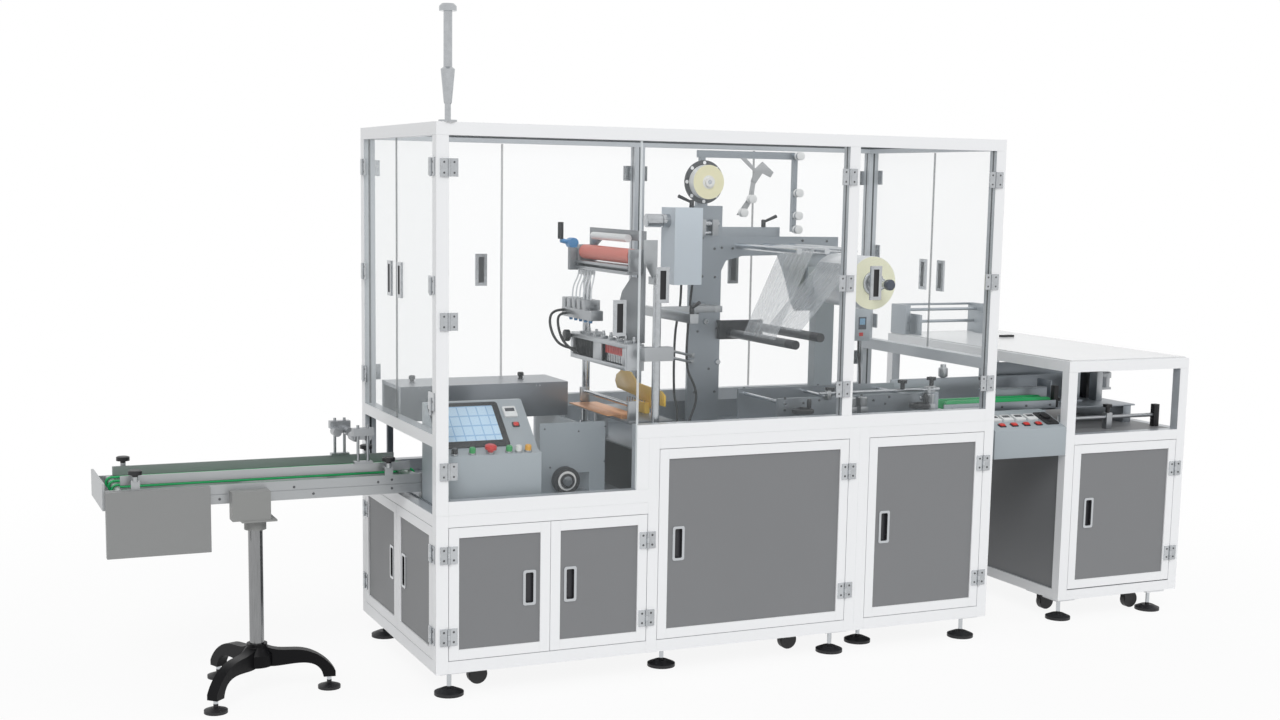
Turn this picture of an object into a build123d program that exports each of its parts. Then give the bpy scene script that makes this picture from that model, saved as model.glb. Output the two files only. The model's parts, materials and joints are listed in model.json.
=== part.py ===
"""Cellophane overwrapping machine with its outfeed conveyor, stand and infeed table.

All sizes are in millimetres. Places are given as x from the machine's left face,
y from its front face and z above the floor, and shift() moves them to the origin,
which is the middle of the pad under the machine's front left levelling foot.
"""
import os
from math import asin, atan2, cos, hypot, radians, sin

from build123d import *

# Main frame
MACHINE_LENGTH = 2200.0
MACHINE_DEPTH = 920.0
MACHINE_HEIGHT = 1900.0
PROFILE = 42.0
JOINT = 0.3
FRAME_BOTTOM = 90.0
LOW_TOP = 625.0
HIGH_TOP = 850.0
SILL = 46.0
TOP_RAIL = 40.0
LOW_BAY_END = 763.0
STILE_START = 716.0
MIDDLE_POST_START = 1566.0
FRONT_GUARD_POST = 1528.0
REAR_GUARD_POST = 1085.0
END_RAIL_BOTTOM = 1045.0

# Levelling feet and casters
PAD_SETBACK = 66.0
PAD_RADIUS = 50.0
PAD_HEIGHT = 22.0
STEM_RADIUS = 8.0
FOOT_PLATE = 8.0
CASTER_RADIUS = 34.0
CASTER_WIDTH = 24.0
CASTER_LIFT = 10.0

# Doors
DOOR_GAP = 2.0
DOOR_STILE = 35.0
DOOR_THICKNESS = 20.0
PANEL_INSET = 5.0
PANEL_THICKNESS = 3.0
HINGE_HEIGHT = 58.0
HINGE_LEAF = 30.0
HINGE_PLATE = 4.0
HINGE_PIN_OUT = 6.0
KNUCKLE_RADIUS = 5.0
KNUCKLE_GAP = 0.5
HANDLE_WIDTH = 46.0
HANDLE_HEIGHT = 122.0
HANDLE_RIM = 3.0
HANDLE_DEPTH = 14.0

# Clear guards
PANE = 5.0
PANE_SET_BACK = 0.0
PANE_GAP = 1.5

# Machine bed
DECK_PLATE = 6.0
LOW_DECK = 625.0
HIGH_DECK = 772.0

# Outfeed conveyor
CONVEYOR_LEFT = -1000.0
CONVEYOR_RIGHT = 60.0
CONVEYOR_FRONT = 310.0
CONVEYOR_WIDTH = 300.0
CONVEYOR_BOTTOM = 652.0
CONVEYOR_TOP = 716.0
CONVEYOR_WALL = 8.0
GUIDE_FRONT = 365.0
GUIDE_REAR = 565.0
GUIDE_WALL = 6.0
GUIDE_HEIGHT = 30.0

# Outfeed stand
STAND_X = -524.0
STAND_Y = 318.0
POLE_RADIUS = 24.0
TRIPOD_REACH = 238.0
TRIPOD_ARM = 38.0
FOOT_TOP = 44.0
TRIPOD_TURNS = (-135.0, -8.0, 112.0)

# Infeed table
INFEED_LEFT = 2618.0
INFEED_WIDTH = 603.0
INFEED_FRONT = 92.0
INFEED_DEPTH = 1310.0
INFEED_TOP = 1052.0
INFEED_CABINET_TOP = 760.0

# Worked out from the sizes above
INFEED_RIGHT = INFEED_LEFT + INFEED_WIDTH
INFEED_REAR = INFEED_FRONT + INFEED_DEPTH
CONVEYOR_REAR = CONVEYOR_FRONT + CONVEYOR_WIDTH
GUARD_BOTTOM = HIGH_TOP + SILL
GUARD_TOP = MACHINE_HEIGHT - PROFILE


def shift(x, y, z):
    """A place from the machine's left face, front face and floor, seen from the origin."""
    return (x - PAD_SETBACK, y - PAD_SETBACK, z)


def block(x0, x1, y0, y1, z0, z1, mode=Mode.ADD):
    """A bar, plate or box between two opposite corners."""
    middle = shift((x0 + x1) / 2, (y0 + y1) / 2, (z0 + z1) / 2)
    with Locations(middle):
        Box(x1 - x0, y1 - y0, z1 - z0, mode=mode)


def rod(start, end, radius, mode=Mode.ADD, end_radius=None):
    """A round bar, or a cone, between two places."""
    start, end = Vector(*shift(*start)), Vector(*shift(*end))
    run = end - start
    with BuildSketch(Plane(origin=start, z_dir=run)) as section:
        Circle(radius)
    if end_radius is None:
        extrude(section.sketch, amount=run.length, mode=mode)
        return
    with BuildSketch(Plane(origin=end, z_dir=run)) as tip:
        Circle(end_radius)
    loft([section.sketch.face(), tip.sketch.face()], mode=mode)


def turned(x, y, z, levels):
    """A turned piece on an upright axis, from pairs of height and radius."""
    upright = Plane(origin=shift(x, y, z), x_dir=(1, 0, 0), z_dir=(0, -1, 0))
    with BuildSketch(upright) as profile:
        with BuildLine():
            Polyline((0, levels[0][0]), *[(r, h) for h, r in levels], (0, levels[-1][0]), close=True)
        make_face()
    revolve(profile.sketch, axis=Axis(upright.origin, (0, 0, 1)))


def bent_rod(points, radius, bend):
    """A round rod along straight runs joined by arcs of one bend radius."""
    places = [shift(*point) for point in points]
    with BuildLine() as path:
        FilletPolyline(*places, radius=bend)
    with BuildSketch(Plane(origin=path.line @ 0, z_dir=path.line % 0)) as section:
        Circle(radius)
    sweep(section.sketch, path=path.line)


def plate_xz(outline, y0, y1, mode=Mode.ADD, round_corners=0.0):
    """A flat plate that faces the front, cut to an outline of x and z."""
    spots = [(x - PAD_SETBACK, z) for x, z in outline]
    with BuildSketch(Plane.XZ.offset(PAD_SETBACK - y1)) as face:
        with BuildLine():
            Polyline(*spots, close=True)
        make_face()
        if round_corners:
            fillet(face.vertices(), round_corners)
    extrude(face.sketch, amount=y1 - y0, mode=mode)


def plate_yz(outline, x0, x1, mode=Mode.ADD, round_corners=0.0):
    """A flat plate that faces left, cut to an outline of y and z."""
    spots = [(y - PAD_SETBACK, z) for y, z in outline]
    with BuildSketch(Plane.YZ.offset(x0 - PAD_SETBACK)) as face:
        with BuildLine():
            Polyline(*spots, close=True)
        make_face()
        if round_corners:
            fillet(face.vertices(), round_corners)
    extrude(face.sketch, amount=x1 - x0, mode=mode)


# White frame under the bed: one square tube after another, with the joint lines left open
FRONT_ROW = (0.0, PROFILE)
REAR_ROW = (MACHINE_DEPTH - PROFILE, MACHINE_DEPTH)
MIDDLE_POST_END = MIDDLE_POST_START + 2 * PROFILE
HIGH_BAY_START = LOW_BAY_END + TOP_RAIL
SIDE_RUN = (PROFILE + JOINT, MACHINE_DEPTH - PROFILE - JOINT)

with BuildPart() as base_frame:
    for y0, y1 in (FRONT_ROW, REAR_ROW):
        block(0, PROFILE, y0, y1, FRAME_BOTTOM, LOW_TOP)
        block(LOW_BAY_END, HIGH_BAY_START, y0, y1, FRAME_BOTTOM, HIGH_TOP)
        block(MIDDLE_POST_START, MIDDLE_POST_START + PROFILE - JOINT, y0, y1, FRAME_BOTTOM, HIGH_TOP)
        block(MIDDLE_POST_START + PROFILE, MIDDLE_POST_END, y0, y1, FRAME_BOTTOM, HIGH_TOP)
        block(MACHINE_LENGTH - PROFILE, MACHINE_LENGTH, y0, y1, FRAME_BOTTOM, HIGH_TOP)
        spans = ((PROFILE, LOW_BAY_END, LOW_TOP), (HIGH_BAY_START, MIDDLE_POST_START, HIGH_TOP),
                 (MIDDLE_POST_END, MACHINE_LENGTH - PROFILE, HIGH_TOP))
        for x0, x1, top in spans:
            block(x0 + JOINT, x1 - JOINT, y0, y1, FRAME_BOTTOM, FRAME_BOTTOM + PROFILE)
            block(x0 + JOINT, x1 - JOINT, y0, y1, top - TOP_RAIL, top)
        block(PROFILE + JOINT, LOW_BAY_END, y0, y1, LOW_TOP + JOINT, LOW_TOP + JOINT + SILL)
        block(STILE_START, LOW_BAY_END - JOINT, y0, y1, LOW_TOP + 2 * JOINT + SILL, HIGH_TOP)
        block(STILE_START, MACHINE_LENGTH - PROFILE - JOINT, y0, y1, HIGH_TOP + JOINT, GUARD_BOTTOM)
    ends = ((0.0, LOW_TOP), (MACHINE_LENGTH - PROFILE, HIGH_TOP))
    for x0, top in ends:
        block(x0, x0 + PROFILE, *SIDE_RUN, FRAME_BOTTOM, FRAME_BOTTOM + PROFILE)
        block(x0, x0 + PROFILE, *SIDE_RUN, top - TOP_RAIL, top)

# Guard frame over the bed
with BuildPart() as guard_frame:
    for y0, y1 in (FRONT_ROW, REAR_ROW):
        block(0, PROFILE, y0, y1, LOW_TOP + JOINT, GUARD_TOP)
        block(MACHINE_LENGTH - PROFILE, MACHINE_LENGTH, y0, y1, HIGH_TOP + JOINT, GUARD_TOP)
        block(0, MACHINE_LENGTH, y0, y1, GUARD_TOP + JOINT, MACHINE_HEIGHT)
    block(FRONT_GUARD_POST, FRONT_GUARD_POST + PROFILE, *FRONT_ROW, GUARD_BOTTOM + JOINT, GUARD_TOP)
    block(REAR_GUARD_POST, REAR_GUARD_POST + PROFILE, *REAR_ROW, GUARD_BOTTOM + JOINT, GUARD_TOP)
    for x0 in (0.0, MACHINE_LENGTH - PROFILE):
        block(x0, x0 + PROFILE, *SIDE_RUN, GUARD_TOP + JOINT, MACHINE_HEIGHT)
    block(0, PROFILE, *SIDE_RUN, HIGH_TOP, HIGH_TOP + TOP_RAIL)
    block(MACHINE_LENGTH - PROFILE, MACHINE_LENGTH, *SIDE_RUN, END_RAIL_BOTTOM, END_RAIL_BOTTOM + PROFILE)

# Bed plates, each a tray whose edges turn up against the frame
with BuildPart() as deck:
    block(PROFILE, LOW_BAY_END, PROFILE, MACHINE_DEPTH - PROFILE, LOW_DECK + JOINT, LOW_DECK + DECK_PLATE)
    block(HIGH_BAY_START, MACHINE_LENGTH - PROFILE, PROFILE, MACHINE_DEPTH - PROFILE,
          HIGH_DECK, HIGH_DECK + DECK_PLATE)
    for y0 in (PROFILE, MACHINE_DEPTH - PROFILE - DECK_PLATE):
        block(HIGH_BAY_START, MACHINE_LENGTH - PROFILE, y0, y0 + DECK_PLATE, HIGH_DECK, HIGH_TOP)

# Sheets that close the cabinets: floors, walls between the bays, back and right end
SHEET = 3.0
with BuildPart() as cabinet_panels:
    bays = ((PROFILE, LOW_BAY_END, LOW_TOP), (HIGH_BAY_START, MIDDLE_POST_START, HIGH_TOP),
            (MIDDLE_POST_END, MACHINE_LENGTH - PROFILE, HIGH_TOP))
    for x0, x1, top in bays:
        block(x0, x1, PROFILE, MACHINE_DEPTH - PROFILE, FRAME_BOTTOM, FRAME_BOTTOM + SHEET)
        block(x0, x1, MACHINE_DEPTH - PROFILE / 2, MACHINE_DEPTH - PROFILE / 2 + SHEET,
              FRAME_BOTTOM + PROFILE, top - TOP_RAIL)
    for x, top in ((LOW_BAY_END + TOP_RAIL / 2, LOW_TOP), (MIDDLE_POST_START + PROFILE, HIGH_DECK)):
        block(x, x + SHEET, PROFILE, MACHINE_DEPTH - PROFILE, FRAME_BOTTOM, top - DECK_PLATE)
    block(MACHINE_LENGTH - PROFILE / 2, MACHINE_LENGTH - PROFILE / 2 + SHEET,
          PROFILE, MACHINE_DEPTH - PROFILE, FRAME_BOTTOM + PROFILE, HIGH_TOP - TOP_RAIL)

def carrier_plate(x, y):
    """The plate under the frame that a foot or a caster is bolted to."""
    block(x - PLATE_HALF, x + PLATE_HALF, y - PLATE_HALF, y + PLATE_HALF,
          FRAME_BOTTOM - FOOT_PLATE, FRAME_BOTTOM)


# Levelling feet, each with a pad, a stem and the plate that carries it under the frame
PLATE_HALF = 45.0
MAIN_FEET = ((66, 66), (880, 120), (1546, 66), (1718, 146), (2134, 66),
             (66, 854), (880, 800), (1546, 854), (1718, 774), (2134, 854))
INFEED_FEET = ((INFEED_LEFT + 52, INFEED_FRONT + 60), (INFEED_RIGHT - 100, INFEED_FRONT + 50),
               (INFEED_LEFT + 52, INFEED_REAR - 60), (INFEED_RIGHT - 100, INFEED_REAR - 60))
with BuildPart() as levelling_feet:
    for x, y in MAIN_FEET + INFEED_FEET:
        rod((x, y, 0), (x, y, PAD_HEIGHT / 2), PAD_RADIUS)
        rod((x, y, PAD_HEIGHT / 2), (x, y, PAD_HEIGHT), PAD_RADIUS, end_radius=PAD_RADIUS / 2)
        rod((x, y, PAD_HEIGHT), (x, y, FRAME_BOTTOM - FOOT_PLATE), STEM_RADIUS)
        carrier_plate(x, y)
    for turn in TRIPOD_TURNS:
        x = STAND_X + TRIPOD_REACH * cos(radians(turn))
        y = STAND_Y + TRIPOD_REACH * sin(radians(turn))
        turned(x, y, 0, ((0, 38), (10, 38), (18, 16), (20, 8), (FOOT_TOP, 8)))

# Casters, raised off the floor by the levelling feet
MAIN_CASTERS = ((166, 124), (1381, 127), (166, 796), (1381, 793))
INFEED_CASTERS = ((INFEED_LEFT + 60, INFEED_FRONT + 180), (INFEED_RIGHT - 192, INFEED_FRONT + 80),
                  (INFEED_LEFT + 60, INFEED_REAR - 180), (INFEED_RIGHT - 192, INFEED_REAR - 80))
CASTER_AXLE = CASTER_LIFT + CASTER_RADIUS
CASTER_TRAIL = 18.0
with BuildPart() as casters:
    for x, y in MAIN_CASTERS + INFEED_CASTERS:
        carrier_plate(x, y)
        rod((x + CASTER_TRAIL, y - CASTER_WIDTH / 2, CASTER_AXLE),
            (x + CASTER_TRAIL, y + CASTER_WIDTH / 2, CASTER_AXLE), CASTER_RADIUS)
        for side in (-1, 1):
            inner = y + side * CASTER_WIDTH / 2
            outer = inner + side * 3
            block(x - 12, x + 28, min(inner, outer), max(inner, outer),
                  CASTER_AXLE - 6, FRAME_BOTTOM - FOOT_PLATE)

# Cabinet doors. A door is laid out on its wall: u runs along the wall, d runs inwards from its face.
FRONT, LEFT, TABLE = "front", "left", "table"


def on_wall(wall, u, d, z):
    """A place on the front wall, the left wall or the infeed table's front."""
    if wall == LEFT:
        return (d, u, z)
    if wall == TABLE:
        return (u, INFEED_FRONT + d, z)
    return (u, d, z)


def slab(wall, u0, u1, d0, d1, z0, z1, mode=Mode.ADD, corner=0.0):
    """A flat piece on a wall, with its corners rounded where a radius is given."""
    x0, y0, low = on_wall(wall, min(u0, u1), d0, z0)
    x1, y1, high = on_wall(wall, max(u0, u1), d1, z1)
    if not corner:
        block(x0, x1, y0, y1, low, high, mode)
    elif wall == LEFT:
        plate_yz([(y0, low), (y1, low), (y1, high), (y0, high)], x0, x1, mode, corner)
    else:
        plate_xz([(x0, low), (x1, low), (x1, high), (x0, high)], y0, y1, mode, corner)


def hinge_half(wall, u, z, side, outer):
    """One leaf of a hinge whose pin stands at u: the outer half has the two end knuckles."""
    third = HINGE_HEIGHT / 3
    low = z - HINGE_HEIGHT / 2
    if outer:
        spans = ((low, low + third), (low + 2 * third, low + 3 * third))
    else:
        spans = ((low + third + KNUCKLE_GAP, low + 2 * third - KNUCKLE_GAP),)
    inner_edge = KNUCKLE_RADIUS + KNUCKLE_GAP
    slab(wall, u + side * inner_edge, u + side * HINGE_LEAF, -HINGE_PLATE, 0, low, low + HINGE_HEIGHT)
    for z0, z1 in spans:
        rod(on_wall(wall, u, -HINGE_PIN_OUT, z0), on_wall(wall, u, -HINGE_PIN_OUT, z1), KNUCKLE_RADIUS)
        slab(wall, u, u + side * inner_edge, -HINGE_PLATE, -HINGE_PLATE / 2, z0, z1)


def handle_cup(wall, u, z, front):
    """A recessed pull: a rim proud of the sheet and a hollow cup behind it."""
    half, tall = HANDLE_WIDTH / 2, HANDLE_HEIGHT / 2
    slab(wall, u - half, u + half, front - HANDLE_RIM, front, z - tall, z + tall, corner=8)
    slab(wall, u - half + 6, u + half - 6, front, front + HANDLE_DEPTH, z - tall + 6, z + tall - 6, corner=6)
    slab(wall, u - half + 9, u + half - 9, front - HANDLE_RIM, front + HANDLE_DEPTH - 2,
         z - tall + 9, z + tall - 9, mode=Mode.SUBTRACT, corner=5)


def cabinet_door(wall, u0, u1, z0, z1, hinge_side, handle_u, handle_z):
    """The frame with its fittings, and the panel, of a door hinged at its low or high u edge."""
    pin_u = u1 + DOOR_GAP / 2 if hinge_side > 0 else u0 - DOOR_GAP / 2
    with BuildPart() as frame:
        slab(wall, u0, u0 + DOOR_STILE, 0, DOOR_THICKNESS, z0, z1)
        slab(wall, u1 - DOOR_STILE, u1, 0, DOOR_THICKNESS, z0, z1)
        for low in (z0, z1 - DOOR_STILE):
            slab(wall, u0 + DOOR_STILE + JOINT, u1 - DOOR_STILE - JOINT, 0, DOOR_THICKNESS,
                 low, low + DOOR_STILE)
        handle_cup(wall, handle_u, handle_z, PANEL_INSET)
        for z in hinge_heights(z0, z1):
            hinge_half(wall, pin_u, z, -hinge_side, outer=False)
    panel_back = PANEL_INSET + PANEL_THICKNESS
    with BuildPart() as panel:
        slab(wall, u0 + DOOR_STILE, u1 - DOOR_STILE, PANEL_INSET, panel_back,
             z0 + DOOR_STILE, z1 - DOOR_STILE)
        half, tall = HANDLE_WIDTH / 2 - 6, HANDLE_HEIGHT / 2 - 6
        slab(wall, handle_u - half, handle_u + half, PANEL_INSET, panel_back,
             handle_z - tall, handle_z + tall, mode=Mode.SUBTRACT, corner=6)
    return frame, panel


def hinge_heights(z0, z1):
    """The two hinges of a door stand a fixed way in from its ends."""
    return (z0 + 82, z1 - 90) if z1 < LOW_TOP else (z0 + 112, z1 - 118)


LOW_DOOR_TOP = LOW_TOP - TOP_RAIL - DOOR_GAP
HIGH_DOOR_TOP = HIGH_TOP - TOP_RAIL - DOOR_GAP
DOOR_BOTTOM = FRAME_BOTTOM + PROFILE + DOOR_GAP
LOW_SPLIT = (PROFILE + LOW_BAY_END) / 2
SIDE_SPLIT = MACHINE_DEPTH / 2
LOW_HANDLE_Z = 360.0
HIGH_HANDLE_Z = 471.0
HANDLE_IN = 74.0

# name, wall, start, end, bottom, top, hinge side, handle place, handle height
DOORS = (
    ("front_door_1", FRONT, PROFILE + DOOR_GAP, LOW_SPLIT - DOOR_GAP / 2, DOOR_BOTTOM, LOW_DOOR_TOP,
     -1, LOW_SPLIT - HANDLE_IN, LOW_HANDLE_Z),
    ("front_door_2", FRONT, LOW_SPLIT + DOOR_GAP / 2, LOW_BAY_END - DOOR_GAP, DOOR_BOTTOM, LOW_DOOR_TOP,
     1, LOW_SPLIT + HANDLE_IN, LOW_HANDLE_Z),
    ("front_door_3", FRONT, HIGH_BAY_START + DOOR_GAP, MIDDLE_POST_START - DOOR_GAP, DOOR_BOTTOM,
     HIGH_DOOR_TOP, 1, HIGH_BAY_START + HANDLE_IN + 6, HIGH_HANDLE_Z),
    ("front_door_4", FRONT, MIDDLE_POST_END + DOOR_GAP, MACHINE_LENGTH - PROFILE - DOOR_GAP, DOOR_BOTTOM,
     HIGH_DOOR_TOP, 1, MIDDLE_POST_END + HANDLE_IN + 4, HIGH_HANDLE_Z),
    ("side_door_front", LEFT, PROFILE + DOOR_GAP, SIDE_SPLIT - DOOR_GAP / 2, DOOR_BOTTOM, LOW_DOOR_TOP,
     -1, SIDE_SPLIT - HANDLE_IN, LOW_HANDLE_Z),
    ("side_door_rear", LEFT, SIDE_SPLIT + DOOR_GAP / 2, MACHINE_DEPTH - PROFILE - DOOR_GAP, DOOR_BOTTOM,
     LOW_DOOR_TOP, 1, SIDE_SPLIT + HANDLE_IN, LOW_HANDLE_Z),
    ("table_door", TABLE, INFEED_LEFT + PROFILE + DOOR_GAP, INFEED_RIGHT - PROFILE - DOOR_GAP, DOOR_BOTTOM,
     INFEED_CABINET_TOP - TOP_RAIL - DOOR_GAP, 1, INFEED_LEFT + PROFILE + HANDLE_IN + 16, 440.0),
)

nodes = {}
for name, wall, u0, u1, z0, z1, side, handle_u, handle_z in DOORS:
    frame, panel = cabinet_door(wall, u0, u1, z0, z1, side, handle_u, handle_z)
    nodes[name + "_frame"] = frame
    nodes[name + "_panel"] = panel

# Clear guard doors over the bed, one pane each
PANE_BACK = PANE_SET_BACK + PANE
LOW_PANE_BOTTOM = LOW_TOP + 2 * JOINT + SILL + PANE_GAP
PANE_BOTTOM = GUARD_BOTTOM + PANE_GAP
PANE_TOP = GUARD_TOP - PANE_GAP
REAR_PANE = (MACHINE_DEPTH - PANE_BACK, MACHINE_DEPTH - PANE_SET_BACK)
REAR_SPLITS = (548.0, 1631.0)
REAR_FIELDS = ((PROFILE, REAR_SPLITS[0]), (REAR_SPLITS[0], REAR_GUARD_POST),
               (REAR_GUARD_POST + PROFILE, REAR_SPLITS[1]), (REAR_SPLITS[1], MACHINE_LENGTH - PROFILE))
HALF_FIELDS = ((PROFILE, SIDE_SPLIT), (SIDE_SPLIT, MACHINE_DEPTH - PROFILE))
with BuildPart() as guard_doors:
    block(PROFILE + PANE_GAP, STILE_START - PANE_GAP, PANE_SET_BACK, PANE_BACK, LOW_PANE_BOTTOM, PANE_TOP)
    block(STILE_START, FRONT_GUARD_POST - PANE_GAP, PANE_SET_BACK, PANE_BACK, PANE_BOTTOM, PANE_TOP)
    block(FRONT_GUARD_POST + PROFILE + PANE_GAP, MACHINE_LENGTH - PROFILE - PANE_GAP,
          PANE_SET_BACK, PANE_BACK, PANE_BOTTOM, PANE_TOP)
    for x0, x1 in REAR_FIELDS:
        block(x0 + PANE_GAP, x1 - PANE_GAP, *REAR_PANE, PANE_BOTTOM, PANE_TOP)
    for y0, y1 in HALF_FIELDS:
        block(PANE_SET_BACK, PANE_BACK, y0 + PANE_GAP, y1 - PANE_GAP,
              HIGH_TOP + TOP_RAIL + PANE_GAP, PANE_TOP)
        block(MACHINE_LENGTH - PANE_BACK, MACHINE_LENGTH - PANE_SET_BACK, y0 + PANE_GAP, y1 - PANE_GAP,
              END_RAIL_BOTTOM + PROFILE + PANE_GAP, PANE_TOP)

# Hinges and pulls of the guard doors. Each sits on a wall; far walls face the other way.
GUARD_HINGES_FRONT = ((PROFILE, (772, 1263, 1756)), (FRONT_GUARD_POST, (993, 1375, 1752)),
                      (MACHINE_LENGTH - PROFILE, (994, 1375, 1752)))
GUARD_PULLS_FRONT = ((642, 1265), (800, 1375), (1649, 1375))
GUARD_PULLS_SIDE = ((399, 1375), (522, 1375))
HINGE_RISE = 5.0


def guard_hinge(x, y, z, along_x, outward):
    """A flat four-screw hinge laid across the seam between a pane and a post."""
    half, tall = HINGE_LEAF, HINGE_HEIGHT / 2
    reach = (min(0, outward * HINGE_RISE), max(0, outward * HINGE_RISE))
    if along_x:
        block(x - half, x + half, y + reach[0], y + reach[1], z - tall, z + tall)
    else:
        block(x + reach[0], x + reach[1], y - half, y + half, z - tall, z + tall)


def guard_pull(x, y, z, along_x, outward):
    """A chrome pull on a pane, with its slot cut in."""
    half, tall = HANDLE_WIDTH / 2, HANDLE_HEIGHT / 2
    near, far = sorted((0, outward * 8))
    if along_x:
        block(x - half, x + half, y + near, y + far, z - tall, z + tall)
        block(x - half + 12, x + half - 12, y + near, y + far, z - tall + 12, z + tall - 12, Mode.SUBTRACT)
    else:
        block(x + near, x + far, y - half, y + half, z - tall, z + tall)
        block(x + near, x + far, y - half + 12, y + half - 12, z - tall + 12, z + tall - 12, Mode.SUBTRACT)


SIDE_HINGES = (1001.0, 1380.0, 1759.0)
with BuildPart() as fixed_fittings:
    for name, wall, u0, u1, z0, z1, side, handle_u, handle_z in DOORS:
        pin_u = u1 + DOOR_GAP / 2 if side > 0 else u0 - DOOR_GAP / 2
        for z in hinge_heights(z0, z1):
            hinge_half(wall, pin_u, z, side, outer=True)
    for x, heights in GUARD_HINGES_FRONT:
        for z in heights:
            guard_hinge(x, 0, z, True, -1)
    for x, z in GUARD_PULLS_FRONT:
        guard_pull(x, PANE_SET_BACK, z, True, -1)
    for x in (PROFILE, REAR_GUARD_POST, REAR_GUARD_POST + PROFILE, MACHINE_LENGTH - PROFILE):
        for z in (1001, 1756):
            guard_hinge(x, MACHINE_DEPTH, z, True, 1)
    for x in REAR_SPLITS:
        guard_pull(x - 80, MACHINE_DEPTH - PANE_SET_BACK, 1380, True, 1)
    for x, outward in ((0.0, -1), (MACHINE_LENGTH, 1)):
        for y in (PROFILE, MACHINE_DEPTH - PROFILE):
            for z in SIDE_HINGES if outward < 0 else (1160.0, 1450.0, 1759.0):
                guard_hinge(x, y, z, False, outward)
        for y, z in GUARD_PULLS_SIDE:
            guard_pull(x - outward * PANE_SET_BACK, y, z, False, outward)

# Signal tower on the front left corner
TOWER_X, TOWER_Y = 45.0, 22.0
TOWER_LEVELS = ((0, 30), (6, 30), (6, 10), (55, 10), (60, 13), (165, 23), (172, 14),
                (345, 14), (345, 28), (360, 28), (368, 20))
with BuildPart() as signal_tower:
    turned(TOWER_X, TOWER_Y, MACHINE_HEIGHT, TOWER_LEVELS)

# Round belts, with the pulley shafts that they turn on
BELT_RADIUS = 4.0
BELT_DROP = 34.0
BELT_Z = CONVEYOR_TOP + 1
BELT_LEFT = CONVEYOR_LEFT + 30
BELT_RIGHT = CONVEYOR_RIGHT - 20
BELT_AXIS_Z = BELT_Z + BELT_RADIUS - BELT_DROP / 2

# Outfeed conveyor: two grooved side plates, end plate, cross bars and guide rails
GROOVE = 3.0
GROOVE_Z = 683.0
with BuildPart() as outfeed_conveyor:
    for y0 in (CONVEYOR_FRONT, CONVEYOR_REAR - CONVEYOR_WALL):
        block(CONVEYOR_LEFT, CONVEYOR_RIGHT, y0, y0 + CONVEYOR_WALL, CONVEYOR_BOTTOM, CONVEYOR_TOP)
    block(CONVEYOR_LEFT, CONVEYOR_RIGHT, CONVEYOR_FRONT - 0.5, CONVEYOR_FRONT + GROOVE,
          GROOVE_Z, GROOVE_Z + GROOVE, Mode.SUBTRACT)
    block(CONVEYOR_LEFT - CONVEYOR_WALL, CONVEYOR_LEFT, CONVEYOR_FRONT, CONVEYOR_REAR,
          CONVEYOR_BOTTOM, CONVEYOR_TOP + 24)
    for x in (-860.0, -524.0, -190.0):
        block(x - 15, x + 15, CONVEYOR_FRONT, CONVEYOR_REAR, CONVEYOR_BOTTOM, CONVEYOR_BOTTOM + 12)
    block(CONVEYOR_LEFT, CONVEYOR_RIGHT, CONVEYOR_FRONT + 60, CONVEYOR_REAR - 60,
          CONVEYOR_BOTTOM + 12, CONVEYOR_BOTTOM + 20)
    for y0 in (CONVEYOR_FRONT + 4, CONVEYOR_REAR - 34):
        block(46, 58, y0, y0 + 30, LOW_DECK + DECK_PLATE, CONVEYOR_BOTTOM)
    for x in (BELT_LEFT + BELT_DROP / 2, BELT_RIGHT - BELT_DROP / 2):
        rod((x, CONVEYOR_FRONT, BELT_AXIS_Z), (x, CONVEYOR_REAR, BELT_AXIS_Z),
            BELT_DROP / 2 - BELT_RADIUS - JOINT)

GUIDE_BOTTOM = CONVEYOR_TOP + 6
GUIDE_TOP = GUIDE_BOTTOM + GUIDE_HEIGHT
GUIDE_POSTS = (-905.0, -70.0)
with BuildPart() as outfeed_guides:
    for y0 in (GUIDE_FRONT, GUIDE_REAR):
        block(-945, 20, y0, y0 + GUIDE_WALL, GUIDE_BOTTOM, GUIDE_TOP)
    for x in GUIDE_POSTS:
        for y0, y1 in ((CONVEYOR_FRONT, GUIDE_FRONT), (GUIDE_REAR + GUIDE_WALL, CONVEYOR_REAR)):
            middle = (y0 + y1) / 2
            block(x - 14, x + 14, y0 if y0 == CONVEYOR_FRONT else y1 - CONVEYOR_WALL,
                  y0 + CONVEYOR_WALL if y0 == CONVEYOR_FRONT else y1, CONVEYOR_TOP, CONVEYOR_TOP + 28)
            rod((x, y0, CONVEYOR_TOP + 18), (x, y1, CONVEYOR_TOP + 18), 5)
            near = y0 + 4 if y0 == CONVEYOR_FRONT else y1 - 4
            turned(x, near, CONVEYOR_TOP + 26, ((0, 9), (22, 9), (22, 22), (34, 22), (36, 18)))


def round_belt(x0, x1, y, z, drop, radius):
    """One closed round belt that runs over an end pulley and back underneath."""
    with BuildLine(Plane(origin=shift(0, y, 0), x_dir=(1, 0, 0), z_dir=(0, -1, 0))) as loop:
        belt_loop(x0, x1, z, drop)
    with BuildSketch(Plane(origin=loop.line @ 0, z_dir=loop.line % 0)) as section:
        Circle(radius)
    sweep(section.sketch, path=loop.line)


def belt_loop(x0, x1, z, drop):
    """Two straight runs joined by half circles, drawn in x and z."""
    half = drop / 2
    left, right = x0 + half, x1 - half
    top = Line((left, z), (right, z))
    RadiusArc(top @ 1, (right, z - drop), half)
    bottom = Line((right, z - drop), (left, z - drop))
    RadiusArc(bottom @ 1, (left, z), half)


with BuildPart() as conveyor_belts:
    for y in (CONVEYOR_FRONT + 75, CONVEYOR_REAR - 75, CONVEYOR_FRONT + 150):
        round_belt(BELT_LEFT, BELT_RIGHT, y, BELT_Z + BELT_RADIUS, BELT_DROP, BELT_RADIUS)

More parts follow.
